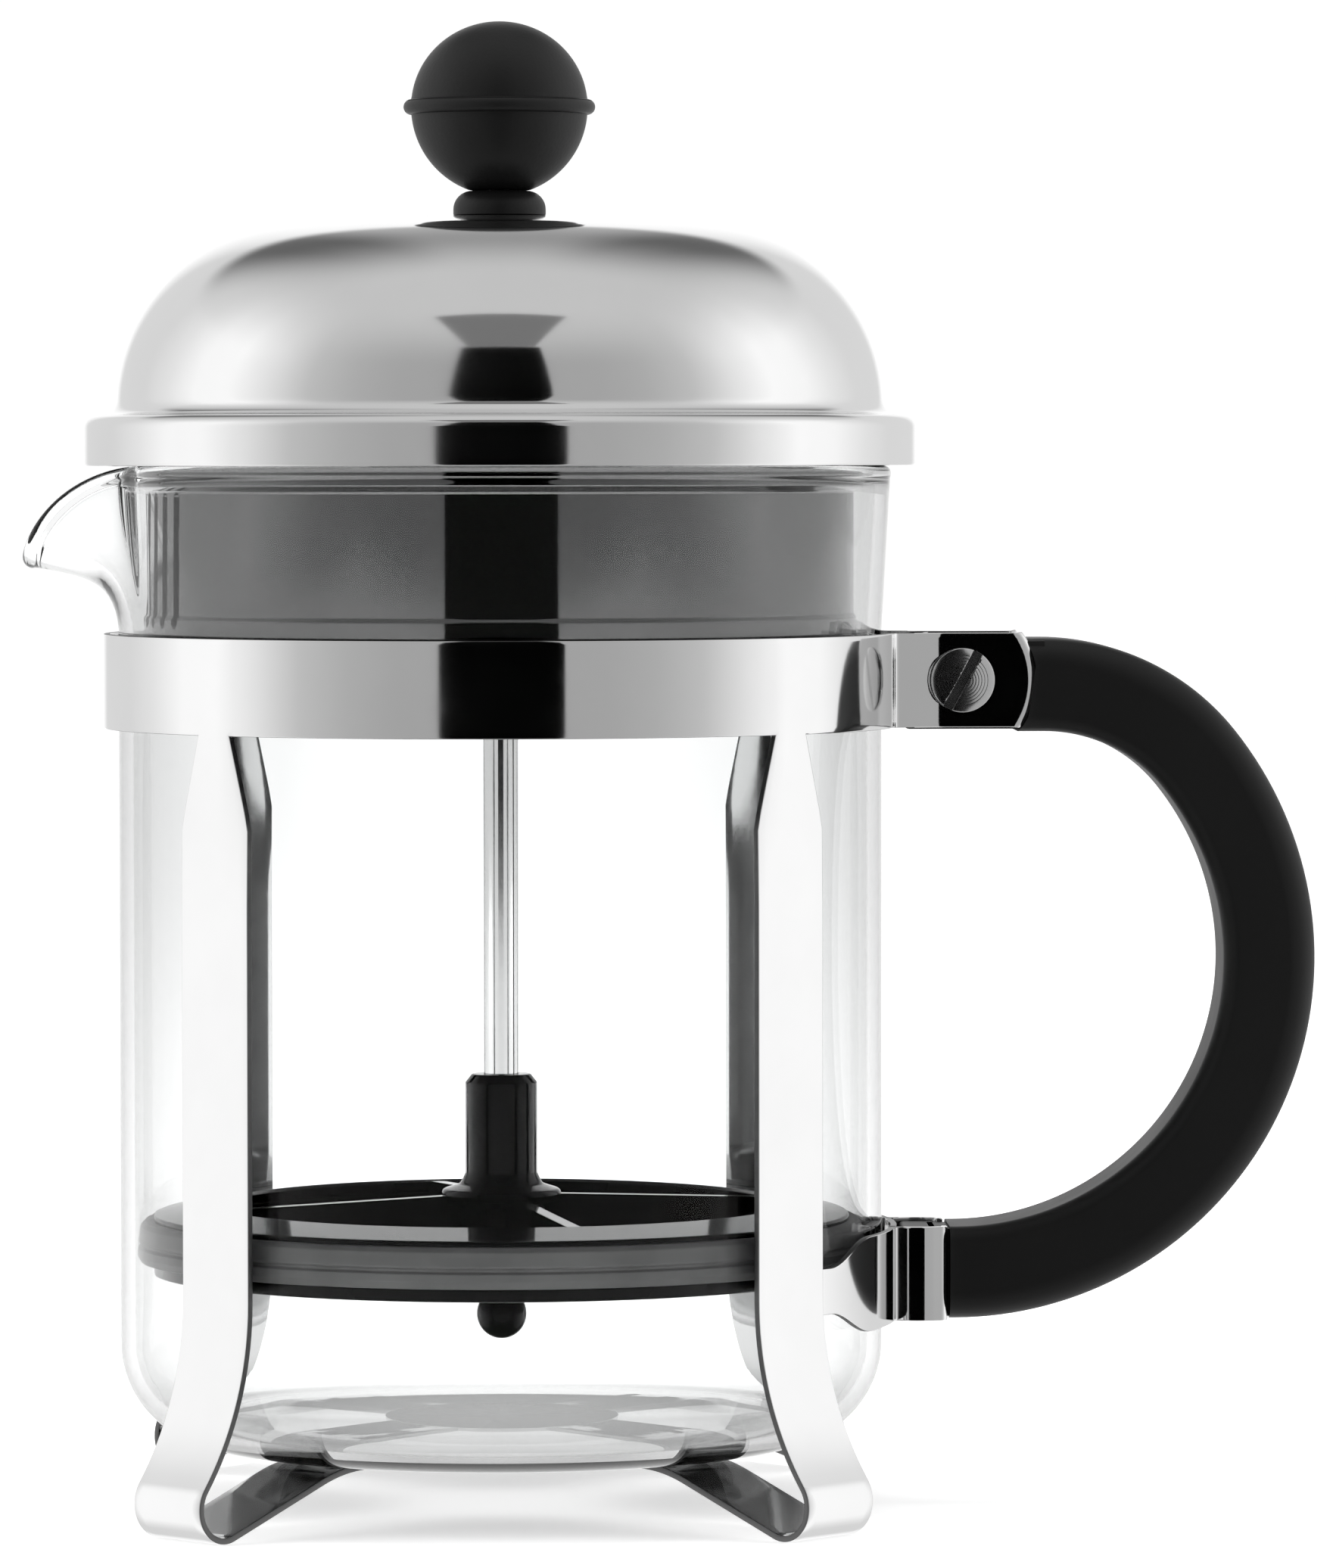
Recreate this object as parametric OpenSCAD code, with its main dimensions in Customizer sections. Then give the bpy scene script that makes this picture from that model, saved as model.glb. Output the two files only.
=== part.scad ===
// French press: glass beaker in a bright strip-steel frame, turning lid, plunger with a wiping filter.
// Millimetres. +Z up, the handle is on +X, the spout on -X. The table is z = 0, the beaker axis is the Z axis.

/* [Beaker] */
// Outer radius of the glass body
glass_r = 45.4; // [38:0.1:55]
// Thickness of the glass wall
glass_wall = 1.7; // [1.2:0.1:2.5]
// Thickness of the glass floor
glass_floor = 2.2; // [1.6:0.1:3.5]
// Height of the glass from its underside to the rim
glass_h = 116.4; // [105:0.1:150]
// Outer radius of the bottom corner
glass_corner = 12; // [6:0.5:16]
// How much the rim stands out past the body
glass_flare = 1.0; // [0:0.1:1.2]
// How far the spout reaches past the body
spout_reach = 11.5; // [8:0.1:16]

/* [Frame] */
// Thickness of the frame sheet
sheet = 0.8; // [0.6:0.1:1.2]
// Gap between the glass and the band
band_gap = 1.0; // [0.6:0.1:1.4]
// Height of the band
band_h = 11.2; // [8:0.1:16]
// Height of the middle of the band above the table
band_z = 98.4; // [88:0.1:102]
// Width of each leg strip
leg_w = 11; // [7:0.1:14]
// Width of a leg where it joins the band
neck_w = 5.2; // [3.5:0.1:6.8]
// Azimuth of the right-hand legs from the handle
leg_angle = 45; // [40:1:50]
// Height of the underside of the glass above the table
glass_z = 7.5; // [6.5:0.1:10]
// Radius of the loop of each foot, to the middle of the sheet
foot_r = 3.8; // [3:0.1:4.5]
// Radius of the flare from the leg into the foot
flare_r = 35; // [25:1:45]

/* [Handle] */
// Width of the handle seen from the side
handle_w = 11.05; // [9:0.05:14]
// Thickness of the handle
handle_t = 14; // [13.6:0.1:18]
// Rounding of the handle edges
handle_edge = 2.6; // [1:0.1:4]
// Length of the upper arm past the flanges
arm_l = 17.3; // [15:0.1:26]
// Radius of the upper bend
bend_top_r = 23.7; // [20:0.1:26]
// Angle of the upper bend
bend_top_a = 51.25; // [40:0.25:60]
// Radius of the middle bend
bend_mid_r = 38.2; // [30:0.1:46]
// Angle of the middle bend
bend_mid_a = 30.35; // [20:0.05:38]
// Diameter of the flange screw
screw_d = 4; // [3:0.1:5]
// Diameter of the flange screw head
screw_head_d = 7.6; // [6:0.1:9]

/* [Lid] */
// How far the lid rim reaches past the glass body
lid_over = 4.0; // [2.2:0.1:8]
// Height of the upright lid rim
rim_h = 6.0; // [5:0.1:9]
// Height of the dome above the rim
dome_h = 23.7; // [20:0.1:30]
// Radius of the flat cap of the dome
cap_r = 280; // [200:5:400]
// Radius of the dome shoulder
knee_r = 21.75; // [18:0.25:24]
// Gap between the inner skirt and the inside of the glass
skirt_gap = 1.6; // [1.1:0.1:5]
// Depth of the inner skirt below the glass rim
skirt_h = 22.9; // [18:0.1:28]
// Number of strainer slots
slot_n = 13; // [5:2:15]
// Width of a strainer slot
slot_w = 1.5; // [1:0.1:2]
// Height of a strainer slot
slot_h = 16; // [10:0.5:18]

/* [Plunger] */
// Diameter of the plunger rod
rod_d = 4.2; // [3.5:0.1:5]
// Radius of the ball knob
ball_r = 10.5; // [9:0.1:14]
// Radius of the ring round the ball
ring_r = 11.4; // [10:0.1:16]
// Height of the underside of the filter above the table
filter_z = 28.0; // [25:0.1:40]
// Gap between the filter wheel and the inside of the glass
wheel_gap = 2.2; // [1.7:0.1:5]
// Radius of the hub
hub_r = 4.3; // [4:0.1:5.5]
// Height of the hub top above the underside of the filter
hub_h = 23.4; // [16:0.1:30]
// Number of holes in the outer circle of the filter plate
hole_n = 16; // [8:1:24]

/* [Hidden] */
$fn = 96;
fit = 0.05;
lap = 0.4;
trim = 0.02;
soft = 0.3;
glass_in = glass_r - glass_wall;
lid_r = glass_r + lid_over;
skirt_r = glass_in - skirt_gap;
wheel_r = glass_in - wheel_gap;
rim_z = glass_z + glass_h;
base_r = glass_r - glass_corner;
corner_z = glass_z + glass_corner;
bead_r = 1.0;
bead_x = glass_r + glass_flare - glass_wall / 2;
flare_z = band_z + band_h / 2 + 0.4;
spout_z = rim_z - 2.7;
spout_x = glass_r + spout_reach;
spout_slope = 0.39;
spout_tip_r = 9.4;
spout_l = spout_reach + 5.5;
lip_r = 17.5;
lip_x = spout_x - 16.7;
lip_z = rim_z - 16.2;
band_r = glass_r + band_gap;
band_ro = band_r + sheet;
leg_x = band_r + sheet / 2 - 0.1;
leg_top = band_z - band_h / 2;
neck_z = leg_top - 10.5;
foot_a = 37;
foot_z = foot_r + sheet / 2;
foot_x = leg_x + flare_r * (1 - cos(foot_a)) - foot_r * cos(foot_a);
flare_top = foot_z + foot_r * sin(foot_a) + flare_r * sin(foot_a);
ramp_a = 20;
ramp_r = 20;
ramp_x = foot_x - foot_r * sin(ramp_a);
ramp_z = foot_z - foot_r * cos(ramp_a);
cross_z = glass_z - sheet / 2;
ramp_l = (cross_z - ramp_z - ramp_r * (1 - cos(ramp_a))) / sin(ramp_a);
crest_x = ramp_x - ramp_l * cos(ramp_a) - ramp_r * sin(ramp_a);
plate_r = 14;
grip_y = 5.95;
grip_x = band_ro + 16.2;
grip_r = 9.6;
screw_x = band_ro + 7.5;
arm_x = band_ro + arm_l;
arm_z = band_z - 0.6;
top_a = 90 - bend_top_a;
top_x = arm_x;
top_z = arm_z - bend_top_r;
mid_a = top_a - bend_mid_a;
mid_x = top_x + (bend_top_r - bend_mid_r) * cos(top_a);
mid_z = top_z + (bend_top_r - bend_mid_r) * sin(top_a);
clip_end = band_ro + 5.8;
low_x = clip_end + 1.05;
low_r = (mid_x + bend_mid_r * cos(mid_a) - low_x) / cos(mid_a);
low_z = mid_z + (bend_mid_r - low_r) * sin(mid_a);
clip_z = low_z - low_r;
clip_h = 11.2;
lid_t = 0.8;
rim_top = rim_z + rim_h;
dome_top = rim_top + dome_h;
cap_z = dome_top - cap_r;
knee_side = lid_r - 3.9;
knee_x = knee_side - knee_r;
knee_lift = knee_x / (cap_r - knee_r);
knee_z = cap_z + sqrt((cap_r - knee_r) * (cap_r - knee_r) - knee_x * knee_x);
knee_s = knee_lift * 1.1;
skirt_in = skirt_r - 0.6;
skirt_low = rim_z - skirt_h;
slot_step = 4.6;
collar_r = 5.5;
collar_h = 2.9;
stem_r = 4.0;
collar_z = dome_top + 0.02;
stem_low = dome_top - 6;
rod_r = rod_d / 2;
knob_low = collar_z + collar_h + 0.05;
ball_cut_r = 3.5;
ball_z = knob_low + sqrt(ball_r * ball_r - ball_cut_r * ball_cut_r);
ring_t = 1.8;
plate_t = 1.6;
mesh_t = 0.4;
mesh_z = filter_z + plate_t;
wheel_z = mesh_z + mesh_t;
ring_z = wheel_z + 4.4;
ring_top = ring_z + 1.6;
ring_in = wheel_r - 8;
core_r = wheel_r - 1.7;
seal_r = glass_in - soft;
hub_z = filter_z + hub_h;
hub_flare_z = ring_top + 1.6;
sleeve_r = 3.0;
nut_r = 3.0;
nut_z = filter_z - 5.3;

// A rounded bend in the XZ plane round a centre, swept from one angle by another.
module bend(x, z, r, from, sweep) {
    translate([x, 0, z]) rotate([90, 0, 0]) rotate([0, 0, from])
        rotate_extrude(angle = sweep) translate([r, 0]) children();
}

// A ring standing on z.
module tube(ro, ri, h) {
    difference() {
        cylinder(r = ro, h = h);
        translate([0, 0, -1]) cylinder(r = ri, h = h + 2);
    }
}

// A bore or pin lying along Y.
module across(x, z, r, y0, y1) {
    translate([x, y1, z]) rotate([90, 0, 0]) cylinder(r = r, h = y1 - y0);
}

// ---- frame ----

module grip_outline() {
    intersection() {
        translate([band_r - 1, -band_h / 2]) square([grip_x - band_r + 1, band_h]);
        union() {
            translate([grip_x - grip_r, 0]) circle(r = grip_r);
            translate([band_r - 2, -band_h]) square([grip_x - grip_r - band_r + 2, 2 * band_h]);
        }
    }
}

module grip(y0) {
    difference() {
        translate([0, y0 + sheet, band_z]) rotate([90, 0, 0]) linear_extrude(sheet) grip_outline();
        translate([0, 0, band_z - band_h]) cylinder(r = band_r, h = 2 * band_h);
        across(screw_x, band_z, screw_d / 2, -20, 20);
    }
}

module frame_band() {
    color([0.86, 0.87, 0.88]) {
        difference() {
            translate([0, 0, leg_top]) tube(band_ro, band_r, band_h);
            translate([0, -grip_y, leg_top - 1]) cube([band_ro + 5, 2 * grip_y, band_h + 2]);
        }
        grip(grip_y);
        grip(-grip_y - sheet);
    }
}

// Neighbouring runs of a strip nest: every other run is trim thinner and reaches lap into the next.
module strip(g) {
    square([sheet - g, leg_w - g], center = true);
}

module leg(az) {
    rotate([0, 0, az]) {
        translate([leg_x - sheet / 2 + trim / 2, 0, 0]) rotate([90, 0, 90])
            linear_extrude(sheet - trim) polygon([[-neck_w / 2, leg_top], [neck_w / 2, leg_top],
                [leg_w / 2 - trim, neck_z + lap], [leg_w / 2 - trim, neck_z - lap],
                [trim - leg_w / 2, neck_z - lap], [trim - leg_w / 2, neck_z + lap]]);
        translate([leg_x - sheet / 2, -leg_w / 2, flare_top])
            cube([sheet, leg_w, neck_z - flare_top]);
        bend(leg_x + flare_r, flare_top, flare_r, 180 - lap, foot_a + 2 * lap) strip(trim);
        bend(foot_x, foot_z, foot_r, -90 - ramp_a, 90 + ramp_a + foot_a) strip(0);
        translate([ramp_x, 0, ramp_z]) rotate([0, ramp_a, 0])
            translate([-ramp_l - lap, -leg_w / 2 + trim / 2, -sheet / 2 + trim / 2])
            cube([ramp_l + 2 * lap, leg_w - trim, sheet - trim]);
        bend(crest_x, cross_z - ramp_r, ramp_r, 90 - ramp_a, ramp_a) strip(0);
        difference() {
            translate([plate_r - 3, -leg_w / 2 + trim / 2, glass_z - sheet + trim / 2])
                cube([crest_x - plate_r + 3 + lap, leg_w - trim, sheet - trim]);
            translate([0, 0, glass_z - 2]) cylinder(r = plate_r, h = 4);
        }
    }
}

module leg_front_left() {
    color([0.86, 0.87, 0.88]) leg(180 + leg_angle);
}

module leg_front_right() {
    color([0.86, 0.87, 0.88]) leg(-leg_angle);
}

module leg_rear_left() {
    color([0.86, 0.87, 0.88]) leg(180 - leg_angle);
}

module leg_rear_right() {
    color([0.86, 0.87, 0.88]) leg(leg_angle);
}

module base_plate() {
    color([0.82, 0.83, 0.84])
        translate([0, 0, glass_z - sheet]) cylinder(r = plate_r, h = sheet);
}

// Side view of the strap: narrow at the legs, full height at the clip.
module strap_side() {
    polygon([[20, clip_z - 2.7], [band_r - 8.4, clip_z - 2.7], [band_r - 3.4, clip_z - clip_h / 2],
        [band_r + 9, clip_z - clip_h / 2], [band_r + 9, clip_z + clip_h / 2],
        [band_r - 3.4, clip_z + clip_h / 2], [band_r - 8.4, clip_z + 2.7], [20, clip_z + 2.7]]);
}

module clip_wall(y0, lip) {
    difference() {
        union() {
            translate([band_r - 0.6, y0, clip_z - clip_h / 2])
                cube([clip_end - band_r + 0.6, sheet, clip_h]);
            translate([clip_end - sheet, y0 + lip, clip_z - clip_h / 2])
                cube([sheet, sheet + 0.6, clip_h]);
        }
        translate([0, 0, clip_z - clip_h]) cylinder(r = band_r, h = 2 * clip_h);
    }
}

module handle_strap() {
    color([0.86, 0.87, 0.88]) {
        intersection() {
            difference() {
                translate([0, 0, clip_z - clip_h]) tube(band_ro, band_r, 2 * clip_h);
                rotate([0, 0, leg_angle]) translate([30, -leg_w / 2, 0]) cube([30, leg_w + 60, 60]);
                rotate([0, 0, -leg_angle]) translate([30, -leg_w / 2 - 60, 0])
                    cube([30, leg_w + 60, 60]);
                translate([-100, -100, 0]) cube([120, 200, 60]);
            }
            translate([0, 60, 0]) rotate([90, 0, 0]) linear_extrude(120) strap_side();
        }
        clip_wall(grip_y, -0.6);
        clip_wall(-grip_y - sheet, 0);
    }
}

// ---- handle ----

// One rounded corner of the handle section, as points from one angle over a quarter turn.
function corner(sx, sy, a0, g) = [for (k = [0 : 4])
    [sx * (handle_w / 2 - handle_edge) + (handle_edge - g) * cos(a0 + 22.5 * k),
     sy * (handle_t / 2 - handle_edge) + (handle_edge - g) * sin(a0 + 22.5 * k)]];

module handle_section(g) {
    polygon(concat(corner(1, 1, 0, g), corner(-1, 1, 90, g), corner(-1, -1, 180, g),
        corner(1, -1, 270, g)));
}

module handle_bar(x0, x1, z) {
    translate([x0, 0, z]) rotate([0, 90, 0]) linear_extrude(x1 - x0) handle_section(0);
}

module handle() {
    color([0.06, 0.06, 0.065]) difference() {
        union() {
            difference() {
                handle_bar(grip_x - 4, arm_x, arm_z);
                across(grip_x - grip_r, band_z, grip_r + 0.15, -20, 20);
            }
            translate([band_ro + 0.6, -grip_y, arm_z - 5.2])
                cube([arm_x - band_ro - 1, 2 * grip_y, 10.4]);
            bend(top_x, top_z, bend_top_r, top_a - lap, bend_top_a + 2 * lap) handle_section(trim);
            bend(mid_x, mid_z, bend_mid_r, mid_a, bend_mid_a) handle_section(0);
            bend(low_x, low_z, low_r, -90 - lap, 90 + mid_a + 2 * lap) handle_section(trim);
            handle_bar(clip_end + 0.25, low_x, clip_z);
            translate([clip_end - 2, -4.55, clip_z - 5.2]) cube([3, 9.1, 10.4]);
            translate([band_ro + 0.6, -grip_y, clip_z - 5.2])
                cube([clip_end - sheet - band_ro - 0.6, 2 * grip_y, 10.4]);
        }
        across(screw_x, band_z, screw_d / 2, -20, 20);
    }
}

module handle_screw() {
    face = -grip_y - sheet;
    color([0.80, 0.81, 0.82]) difference() {
        union() {
            across(screw_x, band_z, screw_d / 2, face, grip_y + sheet + 1.6);
            across(screw_x, band_z, screw_head_d / 2, face - 1.2, face);
        }
        translate([screw_x, face - 1.2, band_z]) rotate([0, 29, 0]) cube([1.2, 1.2, 12], center = true);
    }
}

module handle_nut() {
    face = grip_y + sheet;
    color([0.80, 0.81, 0.82]) difference() {
        translate([screw_x, face + 2.4, band_z]) rotate([90, 0, 0]) cylinder(r = 4, h = 2.4, $fn = 6);
        across(screw_x, band_z, screw_d / 2, face - 1, face + 1.6);
    }
}

// ---- beaker ----

// The glass is one piece: its wall, its rounded corner and its flat base are three nodes that meet face to face.
module beaker_fill(o, low) {
    translate([0, low]) square([glass_r - o, flare_z - low]);
    polygon([[0, flare_z], [glass_r - o, flare_z], [glass_r + glass_flare - o, rim_z - bead_r],
        [0, rim_z - bead_r]]);
}

module spout_fill(o) {
    translate([-spout_x + spout_l, 0, spout_z]) rotate([0, -90, 0])
        cylinder(r1 = spout_tip_r + spout_l * spout_slope - o, r2 = spout_tip_r - o, h = spout_l);
}

module beaker() {
    color([0.90, 0.93, 0.94, 0.35]) difference() {
        union() {
            rotate_extrude() beaker_fill(0, corner_z);
            rotate_extrude() translate([bead_x, rim_z - bead_r]) circle(r = bead_r);
            intersection() {
                spout_fill(0);
                across(-lip_x, lip_z, lip_r, -30, 30);
                translate([-80, -30, 90]) cube([60, 60, rim_z - 0.4 - 90]);
            }
        }
        rotate_extrude() beaker_fill(glass_wall, corner_z - 1);
        translate([0, 0, rim_z - 2 * bead_r]) cylinder(r = bead_x - bead_r + 0.15, h = 3);
        spout_fill(glass_wall);
    }
}

module beaker_corner() {
    color([0.90, 0.93, 0.94, 0.35]) rotate_extrude() difference() {
        intersection() {
            translate([base_r, corner_z]) circle(r = glass_corner);
            translate([base_r, glass_z - 1]) square([glass_corner + 1, glass_corner + 1]);
        }
        translate([base_r, corner_z + glass_floor - glass_wall]) circle(r = glass_corner - glass_wall);
    }
}

module beaker_base() {
    color([0.90, 0.93, 0.94, 0.35]) translate([0, 0, glass_z]) cylinder(r = base_r, h = glass_floor);
}

// ---- lid ----

module dome_fill(o) {
    intersection() {
        union() {
            intersection() {
                translate([0, cap_z]) circle(r = cap_r - o, $fn = 180);
                polygon([[0, cap_z], [0, dome_top + 9], [knee_lift * (dome_top - cap_z), dome_top]]);
            }
            translate([knee_x, knee_z]) circle(r = knee_r - o);
            translate([0, rim_z]) square([knee_x, knee_z - rim_z + 6]);
            translate([0, rim_z]) square([knee_side - o, knee_z - rim_z]);
        }
        translate([0, rim_z - 2]) square([lid_r, dome_h + rim_h + 9]);
    }
}

module rim_fill(o) {
    c = 1.4 - o;
    translate([0, rim_z - 1]) square([lid_r - 1.4, rim_h + 1 - o]);
    translate([0, rim_z - 1]) square([lid_r - o, rim_h - 0.4]);
    translate([lid_r - 1.4, rim_top - 1.4]) circle(r = c);
}

module lid_dome() {
    color([0.88, 0.89, 0.90]) difference() {
        union() {
            rotate_extrude() dome_fill(0);
            rotate_extrude() rim_fill(0);
            rotate_extrude() difference() {
                translate([knee_side - 2, rim_top - 1]) square([4.2, 2.6]);
                translate([knee_side + 2.2, rim_top + 2.2]) circle(r = 2.2);
                translate([knee_side + 2.2, rim_top]) square([3, 5]);
                translate([0, rim_top + 2.2]) square([knee_side + 9, 5]);
            }
        }
        rotate_extrude() dome_fill(lid_t);
        rotate_extrude() rim_fill(lid_t);
        translate([0, 0, rim_z - 5]) cylinder(r = lid_r + 5, h = 5);
        translate([0, 0, dome_top - 5]) cylinder(r = stem_r + fit, h = 9);
    }
}

module lid_skirt() {
    color([0.74, 0.75, 0.76]) difference() {
        union() {
            translate([0, 0, rim_z]) cylinder(r = lid_r - lid_t, h = 0.7);
            translate([0, 0, rim_z - 2.5]) cylinder(r = skirt_r + 1.2, h = 2.6);
            translate([0, 0, skirt_low]) cylinder(r = skirt_r, h = skirt_h);
            translate([0, 0, skirt_low]) cylinder(r = skirt_r + 0.27, h = 5.2);
        }
        translate([0, 0, skirt_low - 1]) cylinder(r = skirt_in, h = skirt_h + 9);
        for (i = [0 : slot_n - 1]) {
            rotate([0, 0, 180 + (i - (slot_n - 1) / 2) * slot_step])
                translate([skirt_in - 3, -slot_w / 2, rim_z - 3 - slot_h]) cube([8, slot_w, slot_h]);
        }
    }
}

module lid_bush() {
    color([0.05, 0.05, 0.055]) difference() {
        union() {
            translate([0, 0, collar_z]) cylinder(r = collar_r, h = collar_h - 1);
            translate([0, 0, collar_z + collar_h - 1]) cylinder(r1 = collar_r, r2 = collar_r - 1.2, h = 1);
            translate([0, 0, stem_low]) cylinder(r = stem_r, h = collar_z - stem_low + 1);
        }
        translate([0, 0, stem_low - 1]) cylinder(r = rod_r + fit, h = collar_h + 9);
    }
}

module lid_clip() {
    color([0.80, 0.81, 0.82])
        translate([0, 0, dome_top - lid_t - 1.15]) tube(7, stem_r, 0.9);
}

// ---- plunger ----

module ball() {
    translate([0, 0, ball_z]) sphere(r = ball_r);
    translate([0, 0, ball_z - ring_t / 2]) cylinder(r = ring_r, h = ring_t);
}

module knob_bore() {
    translate([0, 0, knob_low - 1]) cylinder(r = rod_r, h = 2);
    translate([0, 0, knob_low + 0.6]) cylinder(r = 3.3, h = 7.4);
}

module knob_cap() {
    color([0.05, 0.05, 0.055]) intersection() {
        ball();
        translate([0, 0, ball_z + ring_t / 2 - 0.2]) cylinder(r = 30, h = 30);
    }
}

module knob_base() {
    color([0.05, 0.05, 0.055]) difference() {
        ball();
        translate([0, 0, ball_z + ring_t / 2 - 0.2]) cylinder(r = 30, h = 30);
        translate([0, 0, knob_low - 20]) cylinder(r = 30, h = 20);
        knob_bore();
    }
}

module knob_insert() {
    color([0.78, 0.66, 0.36]) translate([0, 0, knob_low + 0.6]) difference() {
        cylinder(r = 3.3, h = 7.4);
        translate([0, 0, -1]) cylinder(r = rod_r, h = 7.4);
    }
}

module plunger_rod() {
    color([0.70, 0.71, 0.72]) translate([0, 0, nut_z + 0.8])
        cylinder(r = rod_r, h = knob_low + 7 - nut_z - 0.8);
}

module cross_wheel() {
    color([0.05, 0.05, 0.055]) difference() {
        union() {
            difference() {
                union() {
                    translate([0, 0, ring_z]) cylinder(r = wheel_r, h = ring_top - ring_z);
                    translate([0, 0, wheel_z]) cylinder(r = core_r, h = ring_z - wheel_z);
                }
                translate([0, 0, wheel_z - 1]) cylinder(r = core_r - 1.6, h = ring_z - wheel_z + 1);
                translate([0, 0, ring_z - 1]) cylinder(r = ring_in, h = 9);
            }
            for (k = [0 : 3]) {
                rotate([0, 0, 14 + 90 * k]) translate([0, 0.8, 0]) rotate([90, 0, 0])
                    linear_extrude(1.6) polygon([[0, wheel_z], [core_r - 0.8, wheel_z],
                        [core_r - 0.8, ring_z + 0.5], [ring_in, ring_top - 0.2],
                        [hub_r, hub_flare_z], [0, hub_flare_z]]);
            }
            translate([0, 0, wheel_z]) cylinder(r = hub_r, h = hub_z - wheel_z - 1);
            translate([0, 0, hub_z - 1]) cylinder(r1 = hub_r, r2 = hub_r - 0.8, h = 1);
            translate([0, 0, wheel_z]) cylinder(r = 7.3, h = ring_top - wheel_z + 0.6);
            translate([0, 0, ring_top + 0.6]) cylinder(r1 = 7.3, r2 = hub_r, h = 1.6);
        }
        translate([0, 0, wheel_z - 1]) cylinder(r = rod_r, h = hub_h + 9);
        translate([0, 0, wheel_z + 3]) cylinder(r = sleeve_r, h = hub_h - 8);
    }
}

module hub_insert() {
    color([0.78, 0.66, 0.36]) translate([0, 0, wheel_z + 3]) tube(sleeve_r, rod_r, hub_h - 8);
}

module filter_seal() {
    color([0.42, 0.43, 0.44]) translate([0, 0, mesh_z]) difference() {
        union() {
            cylinder(r = seal_r, h = 1.9);
            cylinder(r = seal_r - 0.4, h = 2.3);
            translate([0, 0, 2.3]) cylinder(r1 = seal_r, r2 = seal_r - 0.5, h = ring_z - mesh_z - 2.3);
        }
        translate([0, 0, -1]) cylinder(r = core_r, h = 9);
    }
}

module filter_mesh() {
    color([0.66, 0.67, 0.68]) translate([0, 0, mesh_z]) tube(core_r, rod_r, mesh_t);
}

module filter_plate() {
    color([0.05, 0.05, 0.055]) difference() {
        translate([0, 0, filter_z]) cylinder(r = wheel_r, h = plate_t);
        translate([0, 0, filter_z - 1]) cylinder(r = rod_r, h = 9);
        for (i = [0 : hole_n - 1]) {
            rotate([0, 0, i * 360 / hole_n]) translate([wheel_r * 0.76, 0, filter_z - 1])
                cylinder(r = 3, h = 9);
        }
        for (i = [0 : 9]) {
            rotate([0, 0, i * 36]) translate([wheel_r * 0.50, 0, filter_z - 1])
                cylinder(r = 3, h = 9);
        }
        for (i = [0 : 4]) {
            rotate([0, 0, i * 72]) translate([wheel_r * 0.25, 0, filter_z - 1])
                cylinder(r = 2.6, h = 9);
        }
    }
}

module filter_nut() {
    color([0.05, 0.05, 0.055]) difference() {
        union() {
            translate([0, 0, nut_z]) cylinder(r = nut_r, h = filter_z - nut_z);
            translate([0, 0, nut_z]) sphere(r = nut_r);
        }
        translate([0, 0, nut_z + 0.8]) cylinder(r = rod_r, h = 9);
    }
}

frame_band();
leg_front_left();
leg_front_right();
leg_rear_left();
leg_rear_right();
base_plate();
handle_strap();
handle();
handle_screw();
handle_nut();
beaker();
beaker_corner();
beaker_base();
lid_dome();
lid_skirt();
lid_bush();
lid_clip();
knob_cap();
knob_base();
knob_insert();
plunger_rod();
cross_wheel();
hub_insert();
filter_seal();
filter_mesh();
filter_plate();
filter_nut();
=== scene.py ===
"""French press: a glass beaker in a bright strip frame, with a domed lid and a plunger."""

from math import acos, asin, atan, atan2, copysign, cos, degrees, pi, radians, sin, sqrt, tan

import bmesh
import bpy
from mathutils import Matrix, Vector


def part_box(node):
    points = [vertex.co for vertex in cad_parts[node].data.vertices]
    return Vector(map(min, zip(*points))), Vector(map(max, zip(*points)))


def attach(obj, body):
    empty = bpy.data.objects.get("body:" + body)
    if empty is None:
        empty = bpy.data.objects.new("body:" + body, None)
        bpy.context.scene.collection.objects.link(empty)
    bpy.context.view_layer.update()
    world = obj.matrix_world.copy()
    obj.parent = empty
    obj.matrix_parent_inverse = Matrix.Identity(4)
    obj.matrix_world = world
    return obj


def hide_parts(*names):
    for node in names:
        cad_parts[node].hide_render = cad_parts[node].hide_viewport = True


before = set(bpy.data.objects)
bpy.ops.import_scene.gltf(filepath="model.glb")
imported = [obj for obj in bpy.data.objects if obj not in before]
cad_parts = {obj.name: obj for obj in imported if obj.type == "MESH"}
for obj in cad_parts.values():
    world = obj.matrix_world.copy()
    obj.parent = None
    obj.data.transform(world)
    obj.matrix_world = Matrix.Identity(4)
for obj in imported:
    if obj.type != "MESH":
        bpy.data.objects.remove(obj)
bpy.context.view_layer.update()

bl_info = {
    "name": "French press",
    "version": (1, 0, 0),
    "blender": (4, 5, 0),
    "location": "3D View > Sidebar > French Press",
    "description": "Builds the finished pieces of a french press on its packed frame",
    "category": "Object",
}

MM = 0.001
TAU = 2 * pi


def span(node):
    """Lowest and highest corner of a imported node, in millimetres."""
    lo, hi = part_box(node)
    return [v / MM for v in lo], [v / MM for v in hi]


# ---- outlines ----


def turn_of(angle):
    """Cosine and sine of an angle in degrees."""
    return cos(radians(angle)), sin(radians(angle))


def box_of(x0, y0, x1, y1):
    """The four corners of a rectangle."""
    return [(x0, y0), (x1, y0), (x1, y1), (x0, y1)]


def arc(cx, cy, r, start, end, steps):
    """Points on an arc, angles in degrees."""
    turns = (turn_of(start + (end - start) * k / steps) for k in range(steps + 1))
    return [(cx + r * c, cy + r * s) for c, s in turns]


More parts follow.
